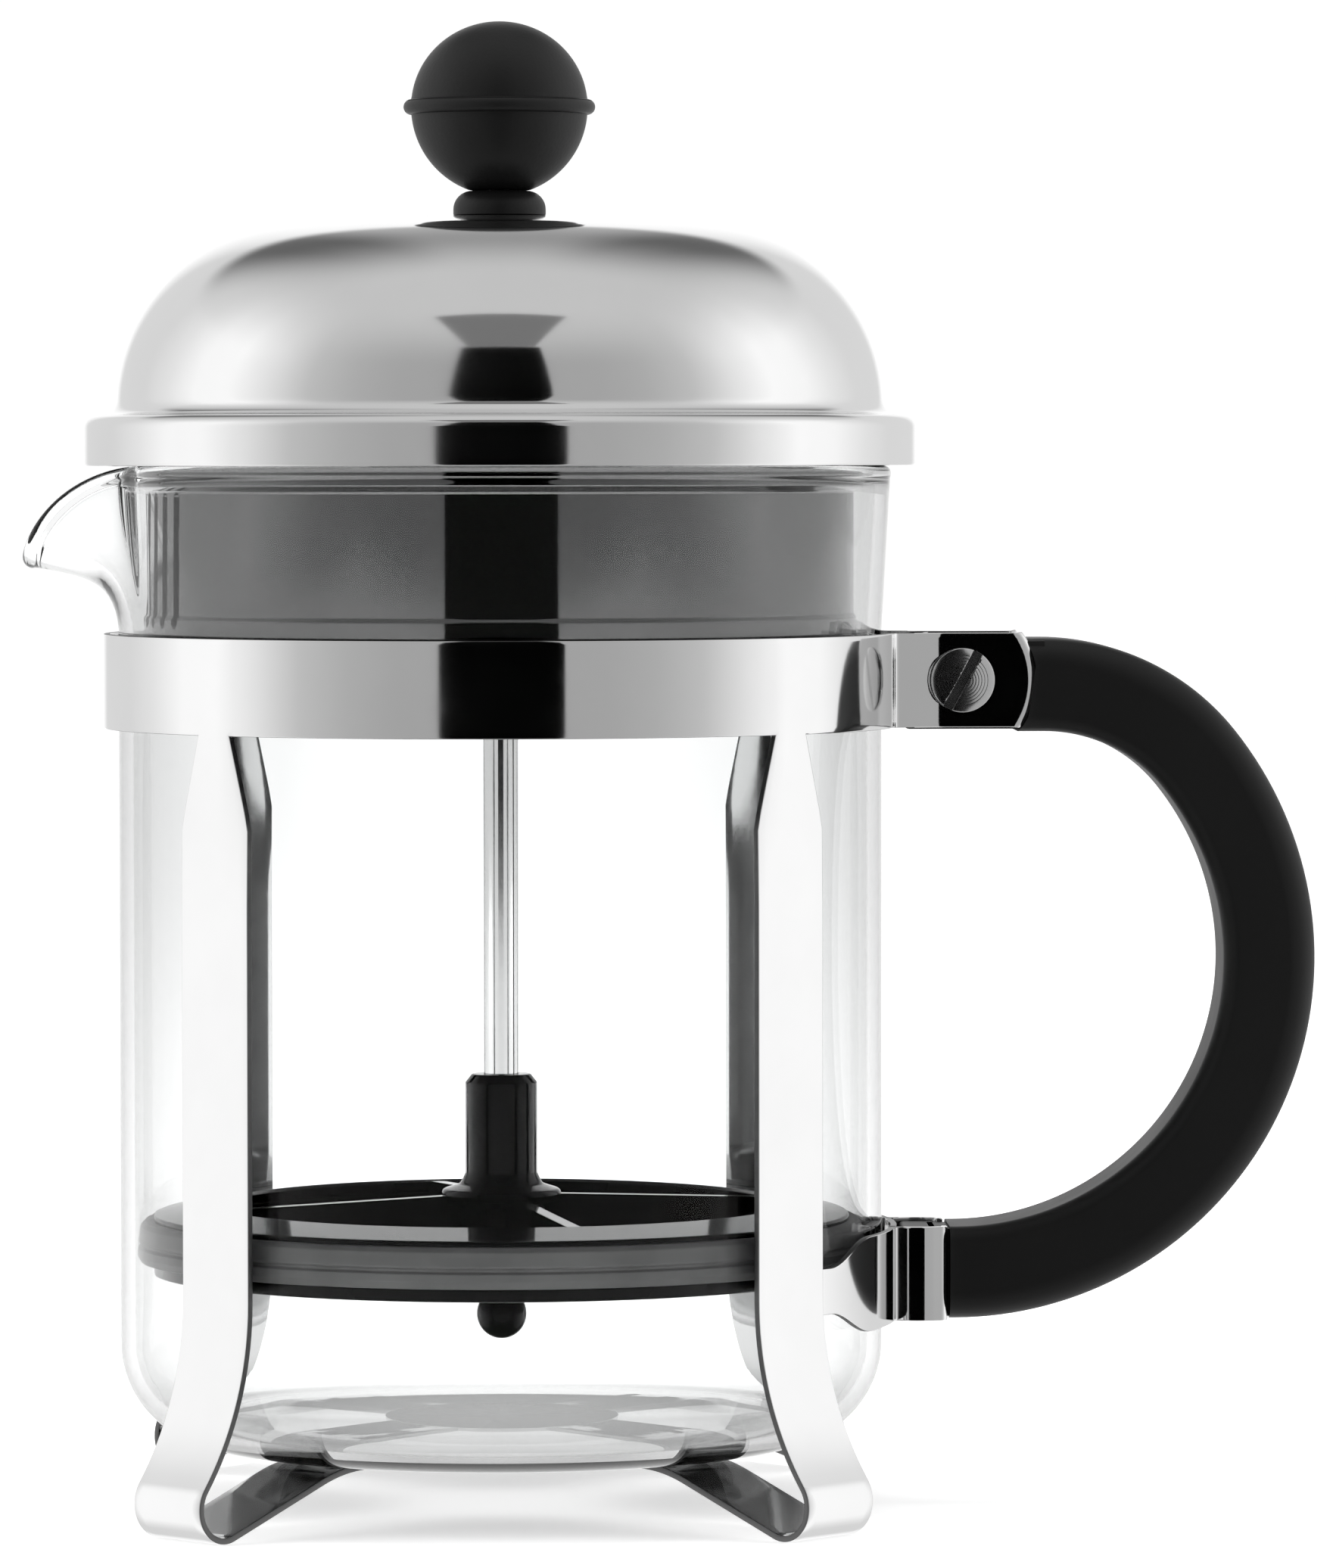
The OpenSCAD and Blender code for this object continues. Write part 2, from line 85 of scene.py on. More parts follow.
def rounded(corners, steps=5):
    """A closed outline from (x, y, radius) corners, each corner turned into an arc."""
    out = []
    for i, (x, y, r) in enumerate(corners):
        p = Vector((x, y))
        if r <= 0:
            out.append((x, y))
            continue
        a = Vector(corners[i - 1][:2]) - p
        b = Vector(corners[(i + 1) % len(corners)][:2]) - p
        half = a.angle(b) / 2
        reach = min(r / tan(half), 0.49 * a.length, 0.49 * b.length)
        r = reach * tan(half)
        a.normalize()
        b.normalize()
        c = p + (a + b).normalized() * (r / sin(half))
        v0, v1 = p + a * reach - c, p + b * reach - c
        a0 = atan2(v0.y, v0.x)
        turn = (atan2(v1.y, v1.x) - a0 + pi) % TAU - pi
        out += arc(c.x, c.y, r, degrees(a0), degrees(a0 + turn), steps)
    return out


# ---- meshes ----


def smooth(mesh, sharp=35.0):
    """Smooth shading, broken at the edges that turn by more than an angle."""
    for p in mesh.polygons:
        p.use_smooth = True
    mesh.set_sharp_from_angle(angle=radians(sharp))


def add(name, data):
    """A new object in the scene."""
    obj = bpy.data.objects.new(name, data)
    bpy.context.scene.collection.objects.link(obj)
    return obj


def make(name, solid, body, replaced, slot, finish, sharp=35.0):
    """A piece from (points in millimetres, faces), riding on its body."""
    verts, faces = solid
    mesh = bpy.data.meshes.new(name)
    mesh.from_pydata([(x * MM, y * MM, z * MM) for x, y, z in verts], [], faces)
    bm = bmesh.new()
    bm.from_mesh(mesh)
    bmesh.ops.remove_doubles(bm, verts=bm.verts, dist=1e-7)
    bmesh.ops.recalc_face_normals(bm, faces=bm.faces)
    bm.to_mesh(mesh)
    bm.free()
    smooth(mesh, sharp)
    mesh.materials.append(finish_of(finish))
    obj = add(name, mesh)
    if body:
        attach(obj, body)
        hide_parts(*replaced)
    return obj


def weigh(obj):
    """Keeps flat faces flat beside their rounded edges."""
    obj.modifiers.new("even_shading", "WEIGHTED_NORMAL").keep_sharp = True


def settle(obj):
    """Applies the modifiers so that what is seen is plain mesh."""
    dg = bpy.context.evaluated_depsgraph_get()
    mesh = bpy.data.meshes.new_from_object(obj.evaluated_get(dg))
    obj.modifiers.clear()
    obj.data = mesh
    smooth(mesh)


def lathe(outline, segments, axis="Z", at=(0, 0, 0)):
    """Points and faces of a solid turned from a closed outline of (radius, height)."""
    verts, faces, rings = [], [], []
    x, y, z = at
    for r, h in outline:
        count = segments if r > 1e-6 else 1
        rings.append([len(verts) + k for k in range(count)])
        for k in range(count):
            u, v = r * cos(TAU * k / segments), r * sin(TAU * k / segments)
            verts.append((x + u, y + v, z + h) if axis == "Z" else (x + u, y + h, z + v))
    for i, a in enumerate(rings):
        b = rings[(i + 1) % len(rings)]
        for k in range(segments):
            j = (k + 1) % segments
            corners = a[k % len(a)], b[k % len(b)], b[j % len(b)], a[j % len(a)]
            faces.append(tuple(dict.fromkeys(corners)))
    return verts, [f for f in faces if len(f) > 2]


def turned(name, outline, body, replaced, slot, finish, sharp, segments=0, **placed):
    """A turned piece that takes the place of one node."""
    solid = lathe(outline, segments or bpy.context.scene.press_sizes.segments, **placed)
    return make(name, solid, body, [replaced], slot, finish, sharp)


def join(*parts):
    """Several (points, faces) as one."""
    verts, faces = [], []
    for v, f in parts:
        base = len(verts)
        verts += v
        faces += [tuple(i + base for i in face) for face in f]
    return verts, faces


def shell(first, second):
    """A closed solid between two outlines of equal length."""
    n = len(first)
    faces = [(k, (k + 1) % n, n + (k + 1) % n, n + k) for k in range(n)]
    return [*first, *second], faces + [tuple(range(n)), tuple(range(n, 2 * n))]


def prism(outline, y):
    """A plate whose outline lies in the XZ plane, reaching y to each side."""
    return shell(*([(x, side, z) for x, z in outline] for side in (-y, y)))


def strip(rows, closed=False):
    """A sheet through rows of points of equal length."""
    n, faces = len(rows[0]), []
    for i in range(len(rows) if closed else len(rows) - 1):
        a, b = i * n, (i + 1) % len(rows) * n
        faces += [(a + k, b + k, b + k + 1, a + k + 1) for k in range(n - 1)]
    return [p for row in rows for p in row], faces


def sleeve(loops):
    """The skin over a row of loops of equal length, open at its ends."""
    n = len(loops[0])
    faces = []
    for i in range(len(loops) - 1):
        a, b = i * n, (i + 1) * n
        faces += [(a + k, a + (k + 1) % n, b + (k + 1) % n, b + k) for k in range(n)]
    return [p for loop in loops for p in loop], faces


def boolean(obj, operation, *tools):
    """Cuts or joins obj with helper solids given as (points, faces)."""
    helpers = []
    for i, solid in enumerate(tools):
        h = make(f"helper_{i}", solid, None, (), None, "bright_sheet")
        h.data.materials[0] = obj.data.materials[0]
        mod = obj.modifiers.new(f"{operation}_{i}", "BOOLEAN")
        mod.operation = operation
        mod.solver = "EXACT"
        mod.object = h
        helpers.append(h)
    bpy.context.view_layer.update()
    settle(obj)
    for h in helpers:
        bpy.data.objects.remove(h)


def soften(obj, width, angle, segments=2):
    """Rounds the edges that turn by more than an angle."""
    b = obj.modifiers.new("edges", "BEVEL")
    b.width = width * MM
    b.segments = segments
    b.limit_method = "ANGLE"
    b.angle_limit = radians(angle)


def sheet_piece(obj, thickness, edge, bright_from):
    """Gives a surface its thickness and broken edges; its cut edges take a rougher steel darkened
    as painted shade, and those past bright_from keep the bright steel.
    """
    obj.data.materials.append(finish_of("shaded_cut_edge"))
    s = obj.modifiers.new("thickness", "SOLIDIFY")
    s.thickness = thickness * MM
    s.offset = 0
    s.use_even_offset = True
    s.material_offset_rim = 1
    soften(obj, edge, 50)
    settle(obj)
    # Painted shade: the cut edges stay dark, except past bright_from, where they keep the bright
    # steel.
    for p in obj.data.polygons:
        if p.center.x > bright_from * MM:
            p.material_index = 0
    weigh(obj)


# ---- shader groups ----

GRAIN_DEPTH = 0.00002


def feed(target, value):
    """Sets an input to a value, or links it to an output."""
    if isinstance(value, bpy.types.NodeSocket):
        target.id_data.links.new(value, target)
    else:
        target.default_value = value


def fill(made, values):
    """Feeds the named inputs of a node."""
    for key, value in values.items():
        feed(made.inputs[key], value)
    return made


def node(tree, kind, values, **settings):
    """A shader node with its settings made and its inputs fed."""
    made = tree.nodes.new("ShaderNode" + kind)
    for key, value in settings.items():
        setattr(made, key, value)
    return fill(made, values)


def calc(tree, operation, *values, clamp=False):
    """The result of a math node."""
    made = node(tree, "Math", {}, operation=operation, use_clamp=clamp)
    for target, value in zip(made.inputs, values):
        feed(target, value)
    return made.outputs[0]


def spread(tree, value, low, high, start=0.0, end=1.0, kind="LINEAR"):
    """A value moved from one range to another and held at its ends."""
    values = {"Value": value, "From Min": low, "From Max": high, "To Min": start, "To Max": end}
    return node(tree, "MapRange", values, interpolation_type=kind).outputs["Result"]


def blend(tree, kind, factor, low, high):
    """A mix of two colours or two numbers."""
    values = {"Factor": factor, "A": low, "B": high}
    return node(tree, "Mix", values, data_type=kind).outputs["Result"]


def on_object(tree):
    """Coordinates that stay with the piece as it moves."""
    return node(tree, "TexCoord", {}).outputs["Object"]


def group_tree(name, inputs, outputs):
    """An empty group with number or vector inputs and number outputs."""
    tree = bpy.data.node_groups.new(name, "ShaderNodeTree")
    for key, value in inputs.items():
        kind = "NodeSocketVector" if isinstance(value, tuple) else "NodeSocketFloat"
        tree.interface.new_socket(name=key, in_out="INPUT", socket_type=kind).default_value = value
    for key in outputs:
        tree.interface.new_socket(name=key, in_out="OUTPUT", socket_type="NodeSocketFloat")
    given, result = tree.nodes.new("NodeGroupInput"), tree.nodes.new("NodeGroupOutput")
    return tree, given.outputs, result.inputs


def handled_group():
    """Faint smears and fine dust: a roughness value that wanders over the surface."""
    tree, given, result = group_tree(
        "handled_surface", {"Roughness": 0.2, "Smear": 0.05, "Scale": 40.0}, ("Roughness", "Mask")
    )
    values = {"Vector": on_object(tree), "Scale": given["Scale"], "Detail": 5, "Roughness": 0.62}
    mask = spread(tree, node(tree, "TexNoise", values).outputs["Fac"], 0.38, 0.72)
    smear = calc(tree, "MULTIPLY", mask, given["Smear"])
    feed(result["Roughness"], calc(tree, "ADD", smear, given["Roughness"], clamp=True))
    feed(result["Mask"], mask)
    return tree


def grain_group():
    """Directional polishing or drawing lines: a height from stretched noise."""
    tree, given, result = group_tree(
        "drawn_grain", {"Stretch": (1.0, 1.0, 1.0), "Scale": 400.0}, ("Height",)
    )
    drawn = node(tree, "VectorMath", {}, operation="MULTIPLY")
    feed(drawn.inputs[0], on_object(tree))
    feed(drawn.inputs[1], given["Stretch"])
    values = {"Vector": drawn.outputs[0], "Scale": given["Scale"], "Detail": 3}
    feed(result["Height"], node(tree, "TexNoise", values).outputs["Fac"])
    return tree


def moulded_group():
    """Fine spark grain of a moulded plastic face."""
    tree, given, result = group_tree("moulded_grain", {"Scale": 2600.0}, ("Height",))
    values = {"Vector": on_object(tree), "Scale": given["Scale"]}
    cells = node(tree, "TexVoronoi", values, feature="SMOOTH_F1")
    feed(result["Height"], cells.outputs["Distance"])
    return tree


def edge_group():
    """Marks the worn and polished edges of a piece."""
    tree, given, result = group_tree("edge_wear", {"Amount": 1.0}, ("Mask",))
    sharp = spread(tree, node(tree, "NewGeometry", {}).outputs["Pointiness"], 0.515, 0.60)
    rub = node(tree, "TexNoise", {"Vector": on_object(tree), "Scale": 220}).outputs["Fac"]
    both = calc(tree, "MULTIPLY", sharp, rub)
    feed(result["Mask"], calc(tree, "MULTIPLY", both, given["Amount"], clamp=True))
    return tree


GROUP_MAKERS = {
    "handled": handled_group, "grain": grain_group, "moulded": moulded_group, "edge": edge_group,
}
GROUPS = {}


def place(tree, name, **values):
    """The outputs of a shared group, which is built once, put into a material."""
    if name not in GROUPS:
        GROUPS[name] = GROUP_MAKERS[name]()
    made = tree.nodes.new("ShaderNodeGroup")
    made.node_tree = GROUPS[name]
    return fill(made, values).outputs


# ---- finishes ----


def shade(tone, share):
    return tuple(v * share for v in tone)


def blank(name, **values):
    """A new material, its tree and the inputs of its shader."""
    m = bpy.data.materials.new(name)
    m.use_nodes = True
    shader = m.node_tree.nodes["Principled BSDF"]
    fill(shader, {key.replace("_", " "): value for key, value in values.items()})
    return m, m.node_tree, shader.inputs


def tone_mix(tree, mask, low, high):
    """A colour that moves between two tones with a mask."""
    return blend(tree, "RGBA", mask, (*low, 1), (*high, 1))


def handled(tree, shader, rough, smear, scale):
    """Feeds the roughness with smears and gives the mask of them."""
    worn = place(tree, "handled", Roughness=rough, Smear=smear, Scale=scale)
    feed(shader["Roughness"], worn["Roughness"])
    return worn["Mask"]


def bump(tree, shader, height, strength, distance=GRAIN_DEPTH):
    values = {"Strength": strength, "Distance": distance, "Height": height}
    feed(shader["Normal"], node(tree, "Bump", values).outputs["Normal"])


def steel(name, tone, rough, smear, stretch, scale, strength):
    """Bright or satin metal with its polishing lines."""
    m, tree, shader = blank(name, Metallic=1.0)
    mask = handled(tree, shader, rough, smear, 45.0)
    feed(shader["Base Color"], tone_mix(tree, mask, tone, shade(tone, 0.965)))
    lines = place(tree, "grain", Stretch=stretch, Scale=scale)
    bump(tree, shader, lines["Height"], strength)
    return m


def black_plastic(name, tone, rough, grain, strength, gloss, tint):
    """Moulded black plastic, with paler rubbed edges."""
    m, tree, shader = blank(
        name, IOR=1.5, Specular_IOR_Level=gloss, Specular_Tint=(tint, tint, tint, 1)
    )
    handled(tree, shader, rough, 0.06, 70.0)
    edge = place(tree, "edge", Amount=0.5)
    pale = tuple(c * 1.9 + 0.004 for c in tone)
    feed(shader["Base Color"], tone_mix(tree, edge["Mask"], tone, pale))
    bump(tree, shader, place(tree, "moulded", Scale=grain)["Height"], strength)
    return m


def seal_rubber(colours):
    """Grey silicone, dull and slightly mottled."""
    m, tree, shader = blank("grey_silicone_seal")
    mask = handled(tree, shader, 0.45, 0.12, 160.0)
    tone = tuple(colours.seal)
    feed(shader["Base Color"], tone_mix(tree, mask, tone, shade(tone, 0.72)))
    bump(tree, shader, place(tree, "moulded", Scale=1800.0)["Height"], 0.2, 2 * GRAIN_DEPTH)
    return m


def clear_glass(colours):
    """Clear glass, darker where it is seen edge on."""
    m, tree, shader = blank(
        "clear_beaker_glass", Transmission_Weight=1.0, IOR=1.47, Specular_Tint=(0.1, 0.1, 0.1, 1)
    )
    mask = handled(tree, shader, 0.0, 0.012, 30.0)
    tint = tuple(colours.glass)
    body = tone_mix(tree, mask, tint, shade(tint, 0.995))
    facing = node(tree, "LayerWeight", {"Blend": 0.28}).outputs["Facing"]
    feed(shader["Base Color"], blend(tree, "RGBA", facing, body, (*shade(tint, 0.36), 1)))
    return m


def wire_screen(colours):
    """Fine woven wire: two crossed sets of waves give the wires their height and tone."""
    m, tree, shader = blank("woven_wire_screen", Metallic=1.0)
    waves = [
        node(tree, "TexWave", {"Scale": 420, "Vector": on_object(tree)}, bands_direction=way)
        for way in ("X", "Y")
    ]
    top = calc(tree, "MAXIMUM", *(w.outputs["Fac"] for w in waves))
    tone = shade(colours.satin, 0.3)
    feed(shader["Base Color"], tone_mix(tree, top, shade(tone, 0.2), tone))
    handled(tree, shader, 0.3, 0.1, 120.0)
    bump(tree, shader, top, 0.6, 0.0001)
    return m


def brass(colours):
    return steel("brass_insert", (0.78, 0.60, 0.30), 0.25, 0.1, (1, 1, 8), 600.0, 0.2)


# Material, colour, share of it, roughness, smear, stretch and scale of the lines, their strength.
STEELS = {
    # Painted shade: the cut edges are the steel at 0.16 of its colour.
    "shaded_cut_edge": ("cut_sheet_edge", "steel", 0.16, 0.35, 0.1, (1, 1, 1), 800.0, 0.2),
    "bright_sheet": ("bright_sheet_steel", "steel", 1.0, 0.05, 0.05, (1, 1, 6), 90.0, 0.05),
    "lid_polish": ("polished_lid_steel", "steel", 1.0, 0.07, 0.05, (1, 1, 1), 60.0, 0.04),
    "plate_steel": ("rolled_plate_steel", "steel", 1.0, 0.5, 0.05, (1, 1, 1), 90.0, 0.05),
    # Painted shade: the skirt is the satin steel at 0.29 of its colour, dark as it shows inside the
    # glass under the lid.
    "satin_steel": ("satin_skirt_steel", "satin", 0.29, 0.045, 0.02, (1, 1, 40), 160.0, 0.0005),
    "rod_steel": ("drawn_rod_steel", "satin", 1.0, 0.06, 0.04, (40, 40, 1), 40.0, 0.03),
    "turned_steel": ("turned_screw_steel", "steel", 1.0, 0.12, 0.10, (1, 1, 1), 900.0, 0.15),
}
# Material, share of the black, roughness, scale of the grain, its strength, gloss, tint of it.
PLASTICS = {
    "handle_plastic": ("satin_black_handle", 1.0, 0.42, 2600.0, 0.22, 0.24, 1.0),
    "knob_plastic": ("satin_black_knob", 1.0, 0.42, 2300.0, 0.55, 0.30, 1.0),
    "wheel_plastic": ("glossy_black_wheel", 0.3, 0.04, 1500.0, 0.004, 0.5, 0.12),
}
OTHERS = {"seal": seal_rubber, "brass": brass, "glass": clear_glass, "screen": wire_screen}
MATERIALS = {}


def finish_of(name):
    """The finishes of the press, each built once from the panel's colours."""
    if name not in MATERIALS:
        colours = bpy.context.scene.press_colours
        if name in STEELS:
            made, colour, share, *rest = STEELS[name]
            MATERIALS[name] = steel(made, shade(getattr(colours, colour), share), *rest)
        elif name in PLASTICS:
            made, share, *rest = PLASTICS[name]
            MATERIALS[name] = black_plastic(made, shade(colours.black, share), *rest)
        else:
            MATERIALS[name] = OTHERS[name](colours)
    return MATERIALS[name]


# ---- panel values ----


def length(name, description, millimetres):
    return bpy.props.FloatProperty(
        name=name, description=description, default=millimetres * MM, unit="LENGTH"
    )


def colour(name, description, tone):
    return bpy.props.FloatVectorProperty(
        name=name, description=description, default=tone, subtype="COLOR", min=0, max=1
    )


class PressSizes(bpy.types.PropertyGroup):
    """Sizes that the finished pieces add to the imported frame."""

    sheet: length("Sheet", "Thickness of the frame sheet", 0.8)
    edge: length("Edge", "Rounding of sheet edges", 0.16)
    glass_wall: length("Glass wall", "Thickness of the glass", 1.7)
    spout_half: bpy.props.FloatProperty(
        name="Spout half angle",
        description="Angle from the middle of the spout to where it leaves the rim",
        default=radians(21),
        subtype="ANGLE",
    )
    segments: bpy.props.IntProperty(
        name="Segments", description="Facets round the turned pieces", default=192, min=32
    )


class PressColours(bpy.types.PropertyGroup):
    """Colours of the finishes."""

    steel: colour("Bright steel", "Polished steel", (0.87, 0.87, 0.87))
    satin: colour("Satin steel", "Brushed steel", (0.56, 0.56, 0.56))
    black: colour("Black plastic", "Handle, knob and wheel", (0.006, 0.006, 0.006))
    glass: colour("Glass", "Tint of the beaker", (0.985, 0.99, 0.99))
    seal: colour("Seal", "Grey silicone of the filter", (0.20, 0.20, 0.20))
    floor: colour("Floor", "Pale floor", (0.9, 0.9, 0.9))


# ---- beaker ----


def beaker_outline(r, wall, low, top, flare):
    """Closed outline of the glass from the middle of its underside, up, over the rim and back."""
    corner, floor, bead, flat, steps = 12.0, 2.2, 1.0, 20, 14
    start = top - 19.5
    side = [low + flat + (start - low - flat) * k / 6 for k in range(7)]
    lean = [(flare * k / steps, start + (top - 2.2 - start) * k / steps) for k in range(steps + 1)]
    out = [(0, low), (r - corner - 8, low)]
    out += arc(r - corner, low + corner, corner, -90, 0, 24)
    out += [(r, z) for z in side]
    out += [(r + x, z) for x, z in lean[1:]]
    out += arc(r + flare - wall / 2, top - bead, bead, -28, 208, 14)
    out += [(r - wall + x, z) for x, z in lean[::-1]]
    out += [(r - wall, z) for z in side[::-1]]
    out += arc(r - corner, low + corner, corner - wall, 0, -70, 18)
    out += [(r - corner - 2.0, low + floor + 0.25), (r - corner - 8, low + floor), (0, low + floor)]
    return out, start


def spout_point(t, r, z, start, top, u):
    """The middle of the glass at a share t up the spout, for a share u round to its tip."""
    run = (r, start), (r + 0.1, start + 7.0), (r + 4.2, start + 7.4), (r + 9.95, top - 10.9)
    b = [(1 - t) ** 3, 3 * t * (1 - t) ** 2, 3 * t * t * (1 - t), t**3]
    tip = [sum(w * p[i] for w, p in zip(b, run)) for i in (0, 1)]
    quarter = pi / 2 * u
    out = 0.25 * u + 0.75 * sin(quarter)
    down = 0.25 * u + 0.75 * (1 - cos(quarter))
    return r + (tip[0] - r) * out, z + (tip[1] - z) * down


class PRESS_OT_beaker(bpy.types.Operator):
    """Build the glass beaker with its drawn spout and fire-polished rim"""

    bl_idname = "press.beaker"
    bl_label = "Glass beaker"

    def execute(self, context):
        sizes = context.scene.press_sizes
        lo, hi = span("beaker_base")[0], span("beaker")[1]
        wall = sizes.glass_wall / MM
        flare = 1.0
        r = hi[1] - flare - 0.15
        low, top = lo[2], hi[2]
        outline, start = beaker_outline(r, wall, low, top, flare)
        half = sizes.spout_half
        n, m = sizes.segments, 72
        rest = TAU - 2.4 * half
        angles = [pi - 1.2 * half + 2.4 * half * k / m for k in range(m)]
        angles += [pi + 1.2 * half + rest * k / n for k in range(n)]
        loops = []
        for a in angles:
            away = abs(a % TAU - pi)
            u = 0.0
            if away < half:
                u = (0.5 + 0.5 * cos(pi * away / half)) ** 0.9
            c, s = cos(a), sin(a)
            loop = []
            for pr, pz in outline:
                zc = min(pz, top - 1.0)
                if u > 0 and zc > start:
                    share = (zc - start) / (top - 1.0 - start)
                    mid = r - wall / 2 + flare * min(1, (zc - start) / (top - 2.2 - start))
                    here = spout_point(share, mid, zc, start, top, u)
                    d = 0.01
                    back = spout_point(share - d, mid, zc - d * (top - 1 - start), start, top, u)
                    t = Vector((here[0] - back[0], here[1] - back[1])).normalized()
                    swell = 1 + 0.28 * u * share
                    o, e = (pr - mid) * swell, (pz - zc) * swell
                    pr, pz = here[0] + o * t.y + e * t.x, here[1] - o * t.x + e * t.y
                loop.append((pr * c, pr * s, pz))
            loops.append(loop[1:-1])
        verts, faces = strip(loops, closed=True)
        k, total = len(loops[0]), len(loops)
        for z, p in ((low, 0), (outline[-1][1], k - 1)):
            faces += [(len(verts), i * k + p, (i + 1) % total * k + p) for i in range(total)]
            verts.append((0, 0, z))
        nodes = ["beaker", "beaker_corner", "beaker_base"]
        make("glass_beaker", (verts, faces), "beaker", nodes, "beaker_glass", "glass", 60)
        return {"FINISHED"}


# ---- frame ----


def foot_path(r, low_r, top, cross, plate):
    """The run of a leg in its own plane: down from the band, round the foot and in."""
    flare, turn, ramp, half_t = 35.0, 37.0, 20.0, 0.4
    (ca, sa), (cb, sb) = turn_of(turn), turn_of(ramp)
    fx = r + flare * (1 - ca) - low_r * ca
    fz = low_r + half_t
    start = fz + (low_r + flare) * sa
    path = [(r, top + (start - top) * k / 30) for k in range(30)]
    path += arc(r + flare, start, flare, 180, 180 + turn, 18)
    path += arc(fx, fz, low_r, turn, -90 - ramp, 40)[1:]
    px, pz = path[-1]
    run = (cross - pz - ramp * (1 - cb)) / sb
    path += [(px - run * cb * k / 5, pz + run * sb * k / 5) for k in range(1, 6)]
    cx = path[-1][0] - ramp * sb
    path += arc(cx, cross - ramp, ramp, 90 - ramp, 90, 8)[1:]
    path += [(cx + (plate - cx) * k / 4, cross) for k in range(1, 5)]
    return path


class PRESS_OT_frame(bpy.types.Operator):
    """Build the band with its two grips and the four strip legs as one pressing"""

    bl_idname = "press.frame"
    bl_label = "Band and legs"

    def execute(self, context):
        sizes = context.scene.press_sizes
        t = sizes.sheet / MM
        lo, hi = span("frame_band")
        plate = span("base_plate")
        rc = hi[1] - t / 2
        z0, z1 = lo[2], hi[2]
        mid, half_h = (z0 + z1) / 2, (z1 - z0) / 2
        grip_x, grip_r, grip_y, rho = hi[0], 9.6, 6.35, 1.3
        legs = [45.0, 135.0, 225.0, 315.0]
        neck, full, cols = 2.6, 5.5, 8
        end = degrees(asin((grip_y + 0.72 + rho) / (rc + rho)))
        stations = set()
        leg_marks = {}
        for az in legs:
            across = (neck * (2 * k / cols - 1) for k in range(cols + 1))
            leg_marks[az] = [az + degrees(asin(y / rc)) for y in across]
            stations |= set(leg_marks[az])
        k = end
        while k < 360 - end + 1e-6:
            if all(abs(k - az) > degrees(neck / rc) + 0.7 for az in legs):
                stations.add(k)
            k += 1.5
        stations.add(360 - end)
        path = []
        for a in sorted(stations):
            c, s = turn_of(a)
            path.append((rc * c, rc * s, half_h, a))
        root_y, lean, set_x = grip_y + 0.72, atan(0.20), 51.2
        cx = sqrt((rc + rho) ** 2 - (root_y + rho) ** 2)
        bend = arc(cx, -(root_y + rho), rho, 180 - end, 90 + degrees(lean), 10)[1:]
        out = [(x, y, half_h, None) for x, y in bend]
        x0, y0 = bend[-1]
        slope, ease = tan(lean), 1.4
        for k in range(1, 13):
            x = x0 + (set_x + ease - x0) * k / 12
            over = max(0.0, x - set_x)
            y = y0 + slope * (x - x0) - slope * over * over / (2 * ease)
            out.append((x, y, half_h, None))
        flat_x, flat_y = out[-1][0], out[-1][1]
        lip = [(share, 0.0) for share in (0.25, 0.5, 0.75, 0.93, 1.0)] + [(1.0, 0.32), (1.0, 0.62)]
        out += [(flat_x, flat_y, half_h, edge) for edge in lip]
        path = [(x, -y, h, a) for x, y, h, a in reversed(out)] + path + out
        rows, sheet, low_at = 16, [], {}
        for x, y, h, a in path:
            if isinstance(a, float):
                low_at[round(a, 6)] = len(sheet) * (rows + 1)
            sheet.append([])
            for k in range(rows + 1):
                up = h * (2 * k / rows - 1)
                px, py = x, y
                if isinstance(a, tuple):
                    tip = grip_x - grip_r + sqrt(grip_r**2 - up * up) - 0.62
                    px = x + (tip - x) * a[0] + a[1]
                    py = y - copysign(a[1] * a[1] * 1.35, y)
                sheet[-1].append((px, py, mid + up))
        verts, faces = strip(sheet)
        r_leg = rc - 0.1
        run = foot_path(r_leg, 3.8, z0, plate[1][2] - t / 2, plate[1][0])
        taper = z0 - 10.5
        for az in legs:
            c, s = turn_of(az)
            above = [low_at[round(a, 6)] for a in leg_marks[az]]
            for i, (r, z) in enumerate(run[1:], 1):
                going = i < 30
                share = min(1.0, max(0.0, (z0 - z) / (z0 - taper))) if going else 1.0
                fillet = 0.0
                if going and z > z0 - 1.2:
                    fillet = 1.2 - sqrt(max(0, 1.44 - (z - z0 + 1.2) ** 2))
                half = neck + (full - neck) * share + fillet * 0.6
                curl = max(0.0, 1 - (z0 - z) / 20) if going else 0.0
                row = []
                for k in range(cols + 1):
                    y = half * (2 * k / cols - 1)
                    rr = r + (sqrt(rc * rc - y * y) - r) * curl
                    if i == len(run) - 1:
                        rr = sqrt(max(r * r - y * y, 1))
                    row.append(len(verts))
                    verts.append((rr * c - y * s, rr * s + y * c, z))
                faces += [(above[k], above[k + 1], row[k + 1], row[k]) for k in range(cols)]
                above = row
        nodes = ["frame_band"]
        nodes += [f"leg_{end}_{side}" for end in ("front", "rear") for side in ("left", "right")]
        obj = make(
            "frame_pressing", (verts, faces), "frame", nodes, "bright_steel", "bright_sheet"
        )
        # The cut edges carry painted shade and stay bright only past rc + 2.
        sheet_piece(obj, t, sizes.edge / MM, rc + 2)
        return {"FINISHED"}


